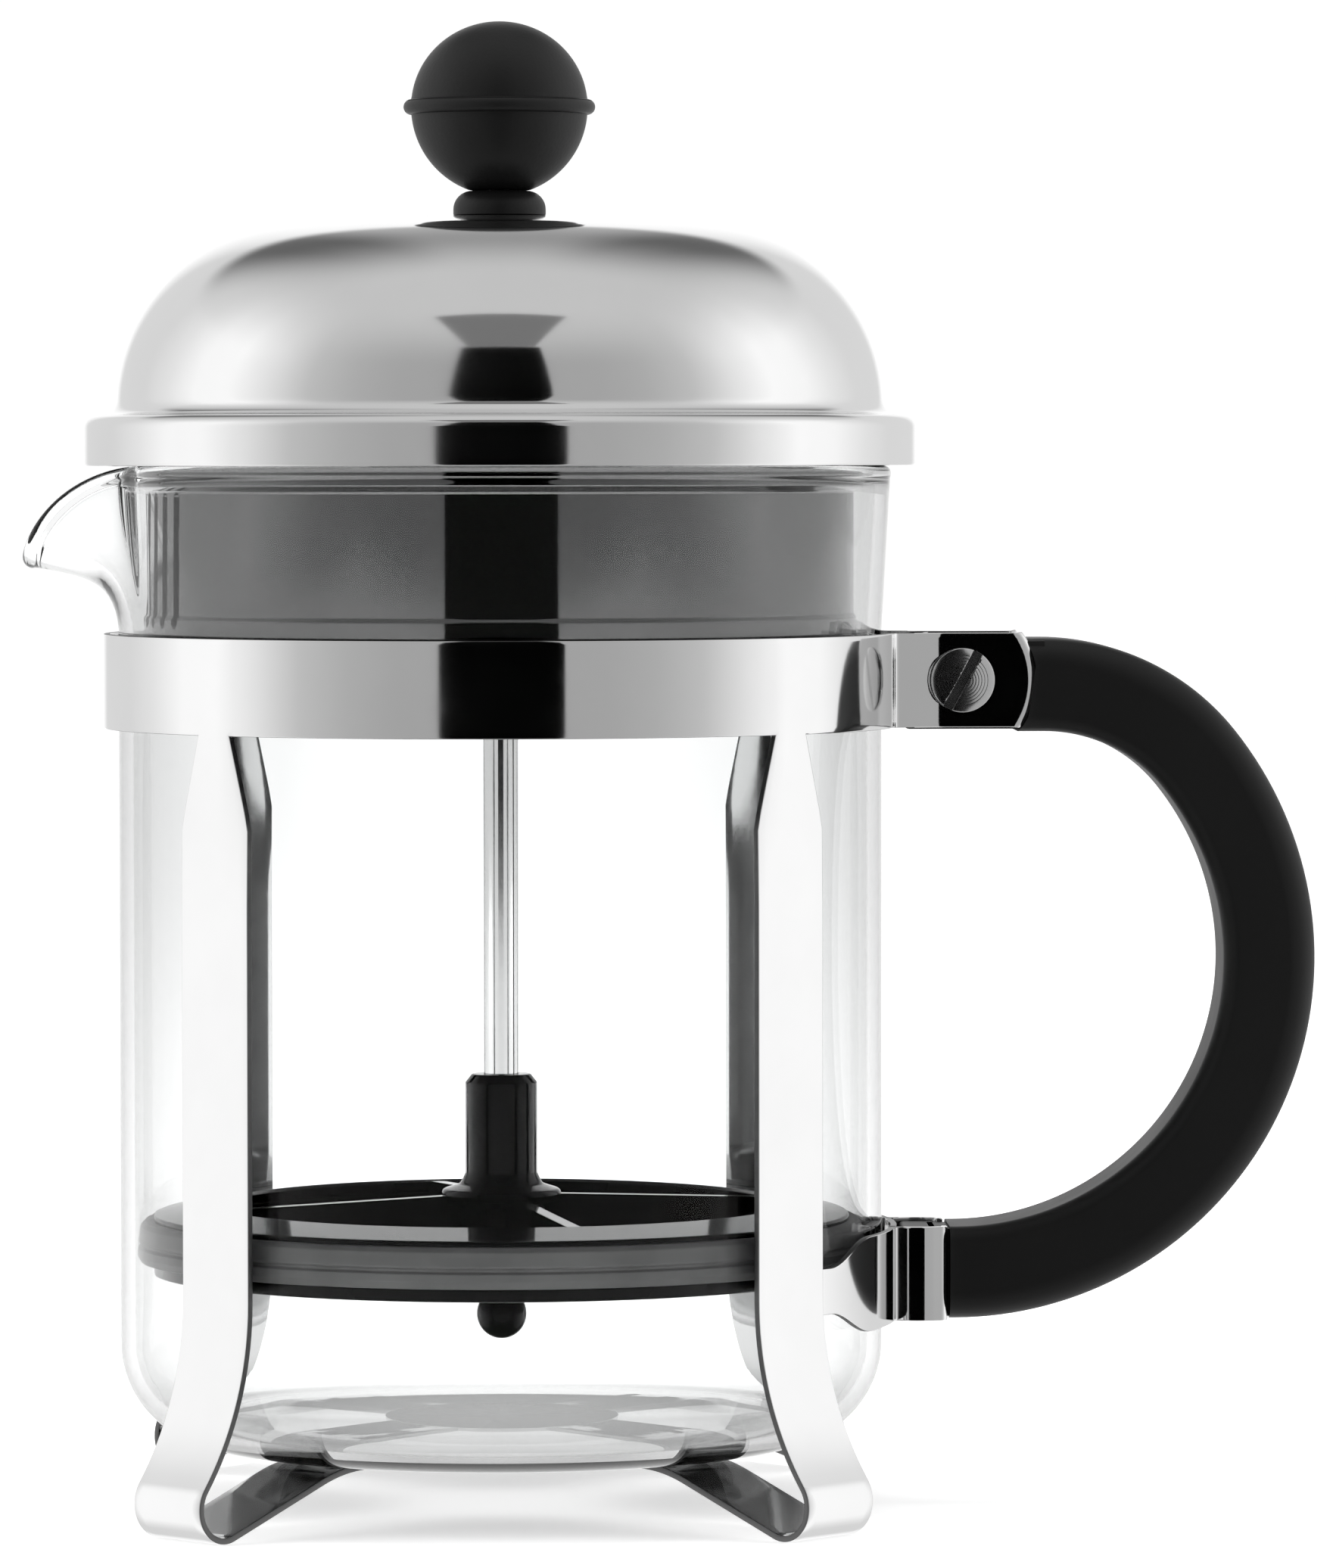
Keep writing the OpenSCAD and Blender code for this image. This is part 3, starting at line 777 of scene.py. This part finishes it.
class PRESS_OT_strap(bpy.types.Operator):
    """Build the lower strap and the channel clip that holds the foot of the handle"""

    bl_idname = "press.strap"
    bl_label = "Lower strap and clip"

    def execute(self, context):
        sizes = context.scene.press_sizes
        t = sizes.sheet / MM
        lo, hi = span("handle_strap")
        rc = span("frame_band")[1][1] - t / 2
        mid, half_h = (lo[2] + hi[2]) / 2, (hi[2] - lo[2]) / 2
        wall_y, rho, end_x = 6.35, 0.9, hi[0] - t / 2
        end = degrees(asin((wall_y + rho) / (rc + rho)))
        parts = []

        def ribbon(path):
            rows = [[(x, y, mid + h * (2 * k / 6 - 1)) for k in range(7)] for x, y, h in path]
            parts.append(strip(rows))

        for side in (1, -1):
            path = []
            for k in range(33):
                a = 38.6 - (38.6 - end) * k / 32
                x, y = (rc * v for v in turn_of(a))
                grow = min(1.0, max(0.0, (x - (rc - 8.8)) / 5.0))
                grow = grow * grow * (3 - 2 * grow)
                path.append((x, side * y, 2.7 + (half_h - 2.7) * grow))
            cx = sqrt((rc + rho) ** 2 - (wall_y + rho) ** 2)
            root = arc(cx, -(wall_y + rho), rho, 180 - end, 90, 8)[1:]
            path += [(x, -side * y, half_h) for x, y in root]
            crown, corner, run = 0.5, 0.7, end_x - 0.7 - cx
            bow = [(k / 8, wall_y + crown * 4 * (k / 8) * (1 - k / 8)) for k in range(1, 9)]
            bow = [(cx + run * share, y) for share, y in bow]
            bow += arc(end_x - corner, wall_y - corner, corner, 90, 0, 6)[1:]
            bow.append((end_x, wall_y - 1.4))
            path += [(x, side * y, half_h) for x, y in bow]
            ribbon(path)
        ribbon([(x, y, half_h) for x, y in arc(0, 0, rc, -6.9, 6.9, 10)])
        obj = make(
            "handle_strap_pressing", join(*parts), "frame", ["handle_strap"],
            "bright_steel", "bright_sheet",
        )
        # The cut edges carry painted shade and stay bright only past rc + 0.8.
        sheet_piece(obj, t, sizes.edge / MM, rc + 0.8)
        return {"FINISHED"}


# ---- handle ----


class PRESS_OT_handle(bpy.types.Operator):
    """Build the moulded handle with its soft edges, shoulders and tongues"""

    bl_idname = "press.handle"
    bl_label = "Handle"

    def execute(self, context):
        lo, hi = span("handle")
        band, strap = span("frame_band"), span("handle_strap")
        w, t = 11.05, hi[1] - lo[1]
        top_z = (band[0][2] + band[1][2]) / 2 - 0.6
        low_z = lo[2] + w / 2
        grip_x, grip_r = band[1][0], 9.75
        grip_mid = (band[0][2] + band[1][2]) / 2
        turns = [(23.7, 51.25), (38.2, 30.35)]
        x, z, heading = 64.5, top_z, 0.0
        stations = [(62.6, z, 0.0), (63.4, z, 0.0)]
        for r, a in turns:
            steps = int(a / 1.8)
            for k in range(steps + 1):
                h = heading + a * k / steps
                (c, s), (c0, s0) = turn_of(h), turn_of(heading)
                stations.append((x + r * (s - s0), z - r * (c0 - c), h))
            x, z, heading = stations[-1][0], stations[-1][1], heading + a
        left = 180 - heading
        c, s = turn_of(heading)
        r = (z - low_z) / (1 + c)
        cx, cz = x - r * s, z - r * c
        steps = int(left / 1.8)
        for k in range(1, steps + 1):
            h = heading + left * k / steps
            c, s = turn_of(h)
            stations.append((cx + r * s, cz + r * c, h))
        stations.append((strap[1][0] + 0.28, stations[-1][1], 180.0))
        keep = [stations[0]]
        for s in stations[1:]:
            if (s[0] - keep[-1][0]) ** 2 + (s[1] - keep[-1][1]) ** 2 > 0.04:
                keep.append(s)
        a, b = w / 2, t / 2
        section = rounded([(-a, -b, 1.9), (a, -b, 3.3), (a, b, 3.3), (-a, b, 1.9)], 7)
        loops = []
        for i, (px, pz, h) in enumerate(keep):
            uz, ux = turn_of(h)
            loop = []
            for u, v in section:
                qx, qz = px + u * ux, pz + u * uz
                if i == 0:
                    qx = grip_x - 9.6 + sqrt(grip_r**2 - min(qz - grip_mid, 5.7) ** 2)
                loop.append((qx, v, qz))
            loops.append(loop)
        loops[1] = [(max(x, y[0] + 0.5), p, q) for (x, p, q), y in zip(loops[1], loops[0])]
        verts, faces = sleeve(loops)
        n = len(section)
        pairs = {}
        for k in sorted(range(n), key=lambda k: (round(section[k][0], 5), section[k][1])):
            pairs.setdefault(round(section[k][0], 5), []).append(k)
        levels = [pairs[key] for key in sorted(pairs)]
        for p, q in zip(levels, levels[1:]):
            if len(p) >= 2 and len(q) >= 2:
                faces.append((p[0], p[-1], q[-1], q[0]))
        faces.append(tuple(range((len(keep) - 1) * n, len(keep) * n)))
        low, half, tongue_x, tongue_y, neck_y = strap[1][0], 5.2, 47.8, 5.93, 4.5

        def tongue(end, z, soft, end_soft):
            corners = box_of(tongue_x, z - half, end, z + half)
            radii = (soft, end_soft, end_soft, soft)
            return prism(rounded([(*p, q) for p, q in zip(corners, radii)], 4), tongue_y)

        neck = prism(box_of(low - 2, low_z - half, low + 1, low_z + half), neck_y)
        solid = join(
            (verts, faces), tongue(64.5, top_z, 0.6, 0), neck, tongue(low - 0.8, low_z, 0.5, 0.5)
        )
        made = "frame", ["handle"], "black_satin", "handle_plastic", 38
        weigh(make("moulded_handle", solid, *made))
        return {"FINISHED"}


class PRESS_OT_fixings(bpy.types.Operator):
    """Build the slotted screw and its nut"""

    bl_idname = "press.fixings"
    bl_label = "Screw and nut"

    def execute(self, context):
        lo, hi = span("handle_screw")
        x, z = (lo[0] + hi[0]) / 2, (lo[2] + hi[2]) / 2
        r = (hi[2] - lo[2]) / 2
        face = lo[1]
        crown, depth, shank, turned_r = 0.42, 1.2, 2.0, 3.3
        tail = hi[1] - face
        head = rounded(
            [
                (0, 0, 0), (r * 0.5, crown / 4, 3), (r, crown, 0.1), (r, depth, 0.05),
                (shank, depth, 0), (shank, tail, 0.3), (0, tail, 0),
            ],
            4,
        )
        rings = []
        for k in range(1, 9):
            rr = turned_r * k / 9
            sag = crown * (rr / r) ** 2
            rings += [(rr - 0.06, sag), (rr, sag + 0.003), (rr + 0.06, sag)]
        head = [head[0], *rings, *[p for p in head[1:] if p[0] > 3.2 or p[1] > 1]]
        obj = turned(
            "handle_screw_slotted", head, "frame", "handle_screw", "bright_steel",
            "turned_steel", 30, 72, axis="Y", at=(x, face, z),
        )
        c, s = turn_of(61)
        sides = [
            [(x + u * c - v * s, face + dy, z + u * s + v * c) for u, v in box_of(-6, -0.6, 6, 0.6)]
            for dy in (-1.0, 0.62)
        ]
        boolean(obj, "DIFFERENCE", shell(*sides))
        centre = Vector((x, face + 1.0, z)) * MM
        tilt = Matrix.Rotation(radians(3), 4, "Z")
        obj.data.transform(Matrix.Translation(centre) @ tilt @ Matrix.Translation(-centre))
        soften(obj, 0.08, 50)
        settle(obj)
        weigh(obj)
        dress("handle_nut", "turned_steel", 0.25)
        return {"FINISHED"}


def dress(name, finish, edge):
    """Gives a carried-over node its finish and broken edges."""
    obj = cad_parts[name]
    obj.data.materials.clear()
    obj.data.materials.append(finish_of(finish))
    obj.modifiers.new("weld", "WELD").merge_threshold = 1e-6
    soften(obj, edge, 40, 3)
    for p in obj.data.polygons:
        p.use_smooth = True
    weigh(obj)


class PRESS_OT_small_nodes(bpy.types.Operator):
    """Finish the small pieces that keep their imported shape"""

    bl_idname = "press.small_nodes"
    bl_label = "Inserts, ring and plates"

    def execute(self, context):
        for name, finish, edge in (
            ("base_plate", "plate_steel", 0.15),
            ("lid_clip", "turned_steel", 0.1),
            ("knob_insert", "brass", 0.2),
            ("hub_insert", "brass", 0.2),
            ("filter_plate", "wheel_plastic", 0.25),
            ("filter_mesh", "screen", 0.05),
        ):
            dress(name, finish, edge)
        return {"FINISHED"}


# ---- lid ----

RIM_H, LID_T = 6.0, 0.8
CAP_R, KNEE_R, COVE_R, RIM_ROUND = 280.0, 21.75, 2.0, 1.5


def dome_outline(r, low, high):
    """Closed outline of the domed lid with its upright rim and the hole for the collar."""

    def side(o):
        cap, knee = CAP_R - o, KNEE_R - o
        knee_x = r - 3.9 - KNEE_R
        cap_z = high - CAP_R
        knee_z = cap_z + sqrt((CAP_R - KNEE_R) ** 2 - knee_x**2)
        lean = degrees(asin(knee_x / (CAP_R - KNEE_R)))
        pts = []
        for k in range(9):
            c, s = turn_of(0.83 + (lean - 0.83) * k / 8)
            pts.append((cap * s, cap_z + cap * c))
        foot = low + RIM_H + COVE_R - o
        drop = degrees(asin((foot - knee_z) / knee)) if abs(foot - knee_z) < knee else 0
        pts += arc(knee_x, knee_z, knee, 90 - lean, max(drop, 2), 44)[1:]
        pts += arc(pts[-1][0] + COVE_R + o, foot, COVE_R + o, 180, 270, 8)[1:]
        pts.append((r - 1.9, pts[-1][1]))
        pts += arc(r - RIM_ROUND, low + RIM_H - RIM_ROUND, RIM_ROUND - o, 90, 0, 8)[1:]
        return pts

    t = LID_T
    foot = [(r, low + 1.6), (r, low + 0.25), (r - 0.12, low + 0.03), (r - t / 2, low - 0.02)]
    foot += [(r - t + 0.1, low + 0.05), (r - t, low + 1.6)]
    return side(0) + foot + side(t)[::-1]


class PRESS_OT_lid(bpy.types.Operator):
    """Build the domed lid"""

    bl_idname = "press.lid"
    bl_label = "Domed lid"

    def execute(self, context):
        lo, hi = span("lid_dome")
        outline = dome_outline(hi[1], lo[2], hi[2])
        weigh(turned("lid_dome_spun", outline, "lid", "lid_dome", "bright_steel", "lid_polish", 40))
        return {"FINISHED"}


class PRESS_OT_skirt(bpy.types.Operator):
    """Build the inner skirt with its slotted strainer"""

    bl_idname = "press.skirt"
    bl_label = "Strainer skirt"

    def execute(self, context):
        lo, hi = span("lid_skirt")
        flange, low, top = hi[1], lo[2], hi[2]
        r, t, collar, rim = 42.1, 0.6, 1.2, top - 0.7
        outline = rounded(
            [
                (r - t, low, 0.15), (r + 0.27, low, 0.15), (r + 0.27, low + 5.0, 0.3),
                (r, low + 5.4, 0.3), (r, rim - 2.9, 0.5), (r + collar, rim - 2.3, 0.3),
                (r + collar, rim, 0.1), (flange, rim, 0.1), (flange, rim + 0.7, 0.1),
                (r - t, rim + 0.7, 0.3),
            ],
            4,
        )
        # The skirt's finish darkens its steel as painted shade.
        made = "lid", "lid_skirt", "satin_steel", "satin_steel", 40
        obj = turned("strainer_skirt", outline, *made)
        count, step, half_w, half_l, slot_z = 13, 4.6, 0.75, 7.25, rim - 11.0
        shape = arc(0, half_l, half_w, 0, 180, 10) + arc(0, -half_l, half_w, 180, 360, 10)
        slots = []
        for i in range(count):
            c, s = turn_of(180 + (i - count // 2) * step)
            slots.append(shell(*(
                [(d * c - y * s, d * s + y * c, z + slot_z) for y, z in shape]
                for d in (r - 4, r + 4)
            )))
        boolean(obj, "DIFFERENCE", join(*slots))
        weigh(obj)
        return {"FINISHED"}


class PRESS_OT_collar(bpy.types.Operator):
    """Build the black collar that guides the rod"""

    bl_idname = "press.collar"
    bl_label = "Rod collar"

    def execute(self, context):
        lo, hi = span("lid_bush")
        r, bore, stem, crown = hi[0], 2.15, 4.0, 2.2
        low, top, z = lo[2], hi[2], hi[2] - 2.9
        outline = rounded(
            [(bore, low, 0.2), (stem, low, 0.2), (stem, z, 0.05), (r, z, 0.15), (r, z + 0.6, 0)]
        )
        outline += arc(r - crown, top - crown, crown, 0, 90, 10) + [(bore, top)]
        weigh(turned(
            "rod_collar", outline, "guide", "lid_bush", "black_satin", "knob_plastic", 40, 96
        ))
        return {"FINISHED"}


# ---- plunger ----


class PRESS_OT_knob(bpy.types.Operator):
    """Build the two halves of the ball knob with the ring between them"""

    bl_idname = "press.knob"
    bl_label = "Ball knob"

    def execute(self, context):
        base, cap = span("knob_base"), span("knob_cap")
        seam, top, ring, low = cap[0][2], cap[1][2], cap[1][0], base[0][2]
        r, ring_t, squash, gap = 10.5, 0.9, 0.968, 0.03
        mid = top - r
        upper, lower = (degrees(asin((seam + g - mid) / ring_t)) for g in (gap, -gap))
        first = degrees(asin(ring_t / r))
        line = [(0, seam + gap)] + arc(ring - ring_t, mid, ring_t, upper, 90, 8)
        line += arc(0, mid, r, first, 90, 40)[1:]
        line[-1] = (0, top)
        line = [(x, y if y < mid + ring_t else mid + (y - mid) * squash) for x, y in line]
        made = "black_satin", "knob_plastic", 40
        weigh(turned("knob_upper", line, "plunger", "knob_cap", *made))
        cut = degrees(asin((low - mid) / r))
        line = [(0, low), (3.3, low)] + arc(0, mid, r, cut + 1.2, -first, 40)
        line += arc(ring - ring_t, mid, ring_t, -90, lower, 8) + [(0, seam - gap)]
        weigh(turned("knob_lower", line, "plunger", "knob_base", *made))
        return {"FINISHED"}


class PRESS_OT_rod(bpy.types.Operator):
    """Build the plunger rod and the domed nut at its foot"""

    bl_idname = "press.rod"
    bl_label = "Rod and nut"

    def execute(self, context):
        lo, hi = span("plunger_rod")
        r, low, top = hi[0], lo[2], hi[2]
        line = rounded([(0, low, 0), (r, low, 0.3), (r, top, 0.3), (0, top, 0)], 4)
        made = "plunger", "plunger_rod", "satin_steel", "rod_steel", 40, 64
        weigh(turned("drawn_rod", line, *made))
        lo, hi = span("filter_nut")
        r, neck = hi[0], 2.45
        start = degrees(acos(neck / r))
        line = [(0, hi[2]), (neck, hi[2])] + arc(0, lo[2] + r, r, start, -90, 24)
        line[-1] = (0, lo[2])
        made = "plunger", "filter_nut", "black_gloss", "wheel_plastic", 50, 64
        weigh(turned("domed_nut", line, *made))
        return {"FINISHED"}


class PRESS_OT_wheel(bpy.types.Operator):
    """Build the black wheel: rim, ribs and hub in one moulding"""

    bl_idname = "press.wheel"
    bl_label = "Filter wheel"

    def execute(self, context):
        lo, hi = span("cross_wheel")
        r, low, top = hi[1], lo[2], hi[2]
        ring_z = low + 4.4
        ring_top = ring_z + 1.6
        core, inner, hub_r, foot_r, cap_r = r - 1.7, r - 8, 4.3, 5.2, 7.1
        under = ring_z - 0.3
        rim = rounded(
            [
                (core - 1.6, low, 0.1), (core, low, 0.1), (core, under, 0.1), (r, under, 0.2),
                (r, ring_top - 1.0, 0.35), (inner + 0.6, ring_top, 0.25),
                (inner, ring_top - 0.3, 0.1), (inner, ring_z, 0.3), (core - 1.6, ring_z, 0.4),
            ],
            4,
        )
        made = "plunger", "cross_wheel", "black_gloss", "wheel_plastic", 40
        obj = turned("filter_wheel", rim, *made)
        hub = rounded(
            [
                (0, low, 0), (foot_r, low, 0.3), (foot_r, ring_top - 0.2, 0.5),
                (cap_r, ring_top + 0.3, 0.4), (cap_r, ring_top + 1.6, 0.6),
                (4.9, ring_top + 2.3, 0.8), (hub_r, ring_top + 3.6, 0.5),
                (hub_r, top - 1.0, 0.3), (3.5, top, 0.25), (0, top, 0),
            ],
        )
        line = [
            (2, low), (core - 0.8, low), (core - 0.8, ring_z + 0.8), (inner - 0.2, ring_top - 0.1),
            (6.0, ring_top + 1.0), (2, ring_top + 1.0),
        ]
        ribs = []
        for k in range(4):
            c, s = turn_of(14 + 90 * k)
            ribs.append(shell(*(
                [(x * c - y * s, x * s + y * c, z) for x, z in line] for y in (-0.8, 0.8)
            )))
        boolean(obj, "UNION", lathe(hub, 96), join(*ribs))
        soften(obj, 0.16, 60)
        settle(obj)
        weigh(obj)
        return {"FINISHED"}


class PRESS_OT_seal(bpy.types.Operator):
    """Build the grey sealing ring with its groove and lip"""

    bl_idname = "press.seal"
    bl_label = "Sealing ring"

    def execute(self, context):
        lo, hi = span("filter_seal")
        r, low, top = hi[1], lo[2], hi[2]
        inner, groove = r - 3.6, r - 0.5
        outline = rounded(
            [
                (inner, low, 0), (groove, low, 0.3), (r, low + 0.9, 0.4),
                (r - 0.05, low + 1.8, 0.2), (groove, low + 2.0, 0.15), (groove, low + 2.3, 0.15),
                (r - 0.1, low + 2.5, 0.3), (r - 0.35, top - 0.5, 0.4), (r - 0.9, top, 0.3),
                (inner, top, 0),
            ],
            4,
        )
        weigh(turned("sealing_ring", outline, "plunger", "filter_seal", "grey_seal", "seal", 45))
        return {"FINISHED"}


# ---- stage ----

# Light of the room from the front, past the side softboxes, to the wall behind.
ROOM_WALLS = (
    (0.0, 0.41), (1.0, 1.10), (0.067, 0.42), (0.146, 0.47), (0.25, 0.58), (0.37, 0.86), (0.5, 1.10),
    (0.63, 1.08), (0.75, 0.88), (0.853, 0.76), (0.975, 0.74),
)
CEILING, BACKDROP = 0.62, 1.02
FLOOR_HALF = 6.0
# Tone of each card and its outline as it stands in front of the press.
CARDS_Y = -1.35
CARDS = {
    "dark_card": (0.0, (
        (-0.43, -0.9), (0.43, -0.9), (0.43, 0.16), (0.36, 0.36),
        (0.31, 1.12), (-0.31, 1.12), (-0.36, 0.36), (-0.43, 0.16),
    )),
    "grey_card": (0.19, ((-0.27, 1.13), (0.27, 1.13), (0.72, 2.3), (-0.72, 2.3))),
}
# Place, aim, size and power of each lamp.
LAMPS = {
    "left_softbox": ((-1.1, -0.35, 0.55), (0, 0, 0.08), (0.5, 1.1), 7.0),
    "right_softbox": ((1.2, -0.30, 0.55), (0, 0, 0.08), (0.5, 1.1), 7.0),
    "top_softbox": ((0.0, 0.1, 1.25), (0, 0, 0.1), (0.9, 0.7), 6.0),
}
SENSOR = 36.0
LENS = 11473.5 / 2072 * SENSOR
CAMERA_PLACE = (-0.00685, -1.03464, 0.12545)
YAW, PITCH, ROLL = 0.0259, 0.0382, -0.0012


def card_cloth(name, tone):
    """A card that shows in reflections and is clear to the eye."""
    m, tree, _ = blank(name)
    tree.nodes.remove(tree.nodes["Principled BSDF"])
    glow = node(tree, "Emission", {"Color": (tone, tone, tone, 1)})
    clear = node(tree, "BsdfTransparent", {})
    bounces = node(tree, "LightPath", {}).outputs["Glossy Depth"]
    mix = node(tree, "MixShader", {"Fac": calc(tree, "GREATER_THAN", bounces, 0.5)})
    feed(mix.inputs[1], clear.outputs[0])
    feed(mix.inputs[2], glow.outputs[0])
    feed(tree.nodes["Material Output"].inputs["Surface"], mix.outputs[0])
    return m


def flat_object(name, points, material):
    """A single flat face of the stage."""
    mesh = bpy.data.meshes.new(name)
    mesh.from_pydata(points, [], [tuple(range(len(points)))])
    mesh.materials.append(material)
    obj = add(name, mesh)
    return obj


def soft_room():
    """The light of the room by direction; seen directly it is plain and pale."""
    world = bpy.data.worlds.new("soft_room")
    world.use_nodes = True
    tree = world.node_tree
    where = node(tree, "TexCoord", {}).outputs["Generated"]
    split = node(tree, "SeparateXYZ", {"Vector": where})
    x, y, z = (split.outputs[k] for k in "XYZ")

    def fade(*values):
        return spread(tree, *values, kind="SMOOTHSTEP")

    squares = (calc(tree, "MULTIPLY", v, v) for v in (x, y))
    flat = calc(tree, "SQRT", calc(tree, "ADD", *squares))
    walls = tree.nodes.new("ShaderNodeValToRGB")
    stops = walls.color_ramp.elements
    for i, (place_at, tone) in enumerate(ROOM_WALLS):
        stop = stops[i] if i < 2 else stops.new(place_at)
        stop.position = place_at
        stop.color = (tone, tone, tone, 1)
    fill(walls, {"Fac": spread(tree, calc(tree, "DIVIDE", y, flat), -1, 1)})
    room = blend(tree, "FLOAT", fade(z, 0.40, 0.88), walls.outputs["Color"], CEILING)
    aside = calc(tree, "ABSOLUTE", x)
    high = calc(tree, "MULTIPLY", fade(z, 0.46, 0.56), fade(y, 0.0, 0.72))
    ends = fade(aside, 0.30, 0.62, 1, 0.1)
    shadow = calc(tree, "MULTIPLY", high, ends)
    shadow = calc(tree, "MULTIPLY", shadow, fade(aside, 0.08, 0.22, 0.52, 0.80))
    room = calc(tree, "MULTIPLY", room, calc(tree, "SUBTRACT", 1.0, shadow))
    path = node(tree, "LightPath", {}).outputs
    bounces = calc(tree, "ADD", path["Glossy Depth"], path["Diffuse Depth"])
    shown = blend(tree, "FLOAT", fade(bounces, 0.4, 0.6, 1, 0), room, BACKDROP)
    fill(tree.nodes["Background"], {"Color": shown, "Strength": 1.0})
    return world


class PRESS_OT_stage(bpy.types.Operator):
    """Set up the pale floor, the soft light and the camera"""

    bl_idname = "press.stage"
    bl_label = "Floor, light and camera"

    def execute(self, context):
        scene = context.scene
        m, _, _ = blank(
            "pale_floor", Base_Color=(*scene.press_colours.floor, 1), Roughness=0.8,
            Specular_IOR_Level=0.1, Emission_Color=(1, 1, 1, 1), Emission_Strength=0.5,
        )
        d = FLOOR_HALF
        floor = flat_object("floor", [(x, y, 0) for x, y in box_of(-d, -d, d, d)], m)
        floor.visible_glossy = False
        scene.world = soft_room()
        for name, (tone, outline) in CARDS.items():
            points = [(x, CARDS_Y, z) for x, z in outline]
            card = flat_object(name, points, card_cloth(name + "_cloth", tone))
            card.visible_camera = card.visible_shadow = card.visible_diffuse = False
        for name, (place_at, aim, size, power) in LAMPS.items():
            light = bpy.data.lights.new(name, "AREA")
            light.shape = "RECTANGLE"
            light.size, light.size_y = size
            light.energy = power
            lamp = add(name, light)
            lamp.location = place_at
            lamp.visible_glossy = lamp.visible_transmission = lamp.visible_camera = False
            facing = (Vector(aim) - Vector(place_at)).to_track_quat("-Z", "Y")
            lamp.rotation_euler = facing.to_euler()

        data = bpy.data.cameras.new("camera")
        data.sensor_fit = "VERTICAL"
        data.sensor_height = data.sensor_width = SENSOR
        data.lens = LENS
        data.clip_start, data.clip_end = 0.05, 50
        camera = add("camera", data)
        camera.location = CAMERA_PLACE
        pan = Matrix.Rotation(-YAW, 3, "Z")
        tip = Matrix.Rotation(pi / 2 - PITCH, 3, "X")
        camera.rotation_euler = (pan @ tip @ Matrix.Rotation(ROLL, 3, "Z")).to_euler()
        scene.camera = camera
        scene.view_settings.view_transform = "Standard"
        return {"FINISHED"}


PIECES = (
    PRESS_OT_stage, PRESS_OT_beaker, PRESS_OT_frame, PRESS_OT_strap, PRESS_OT_handle,
    PRESS_OT_fixings, PRESS_OT_small_nodes, PRESS_OT_lid, PRESS_OT_skirt, PRESS_OT_collar,
    PRESS_OT_knob, PRESS_OT_rod, PRESS_OT_wheel, PRESS_OT_seal,
)


class PRESS_PT_panel(bpy.types.Panel):
    """Lists the pieces of the press"""

    bl_label = "French Press"
    bl_idname = "PRESS_PT_panel"
    bl_space_type = "VIEW_3D"
    bl_region_type = "UI"
    bl_category = "French Press"

    def draw(self, context):
        column = self.layout.column()
        for name in PressSizes.__annotations__:
            column.prop(context.scene.press_sizes, name)
        for name in PressColours.__annotations__:
            column.prop(context.scene.press_colours, name)
        for piece in PIECES:
            column.operator(piece.bl_idname)


CLASSES = (PressSizes, PressColours, *PIECES, PRESS_PT_panel)


def register():
    for c in CLASSES:
        bpy.utils.register_class(c)
    bpy.types.Scene.press_sizes = bpy.props.PointerProperty(type=PressSizes)
    bpy.types.Scene.press_colours = bpy.props.PointerProperty(type=PressColours)


def unregister():
    del bpy.types.Scene.press_colours
    del bpy.types.Scene.press_sizes
    for c in reversed(CLASSES):
        bpy.utils.unregister_class(c)


def main():
    """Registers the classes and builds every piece."""
    register()
    for piece in PIECES:
        group, name = piece.bl_idname.split(".")
        getattr(getattr(bpy.ops, group), name)()


if __name__ == "__main__":
    main()
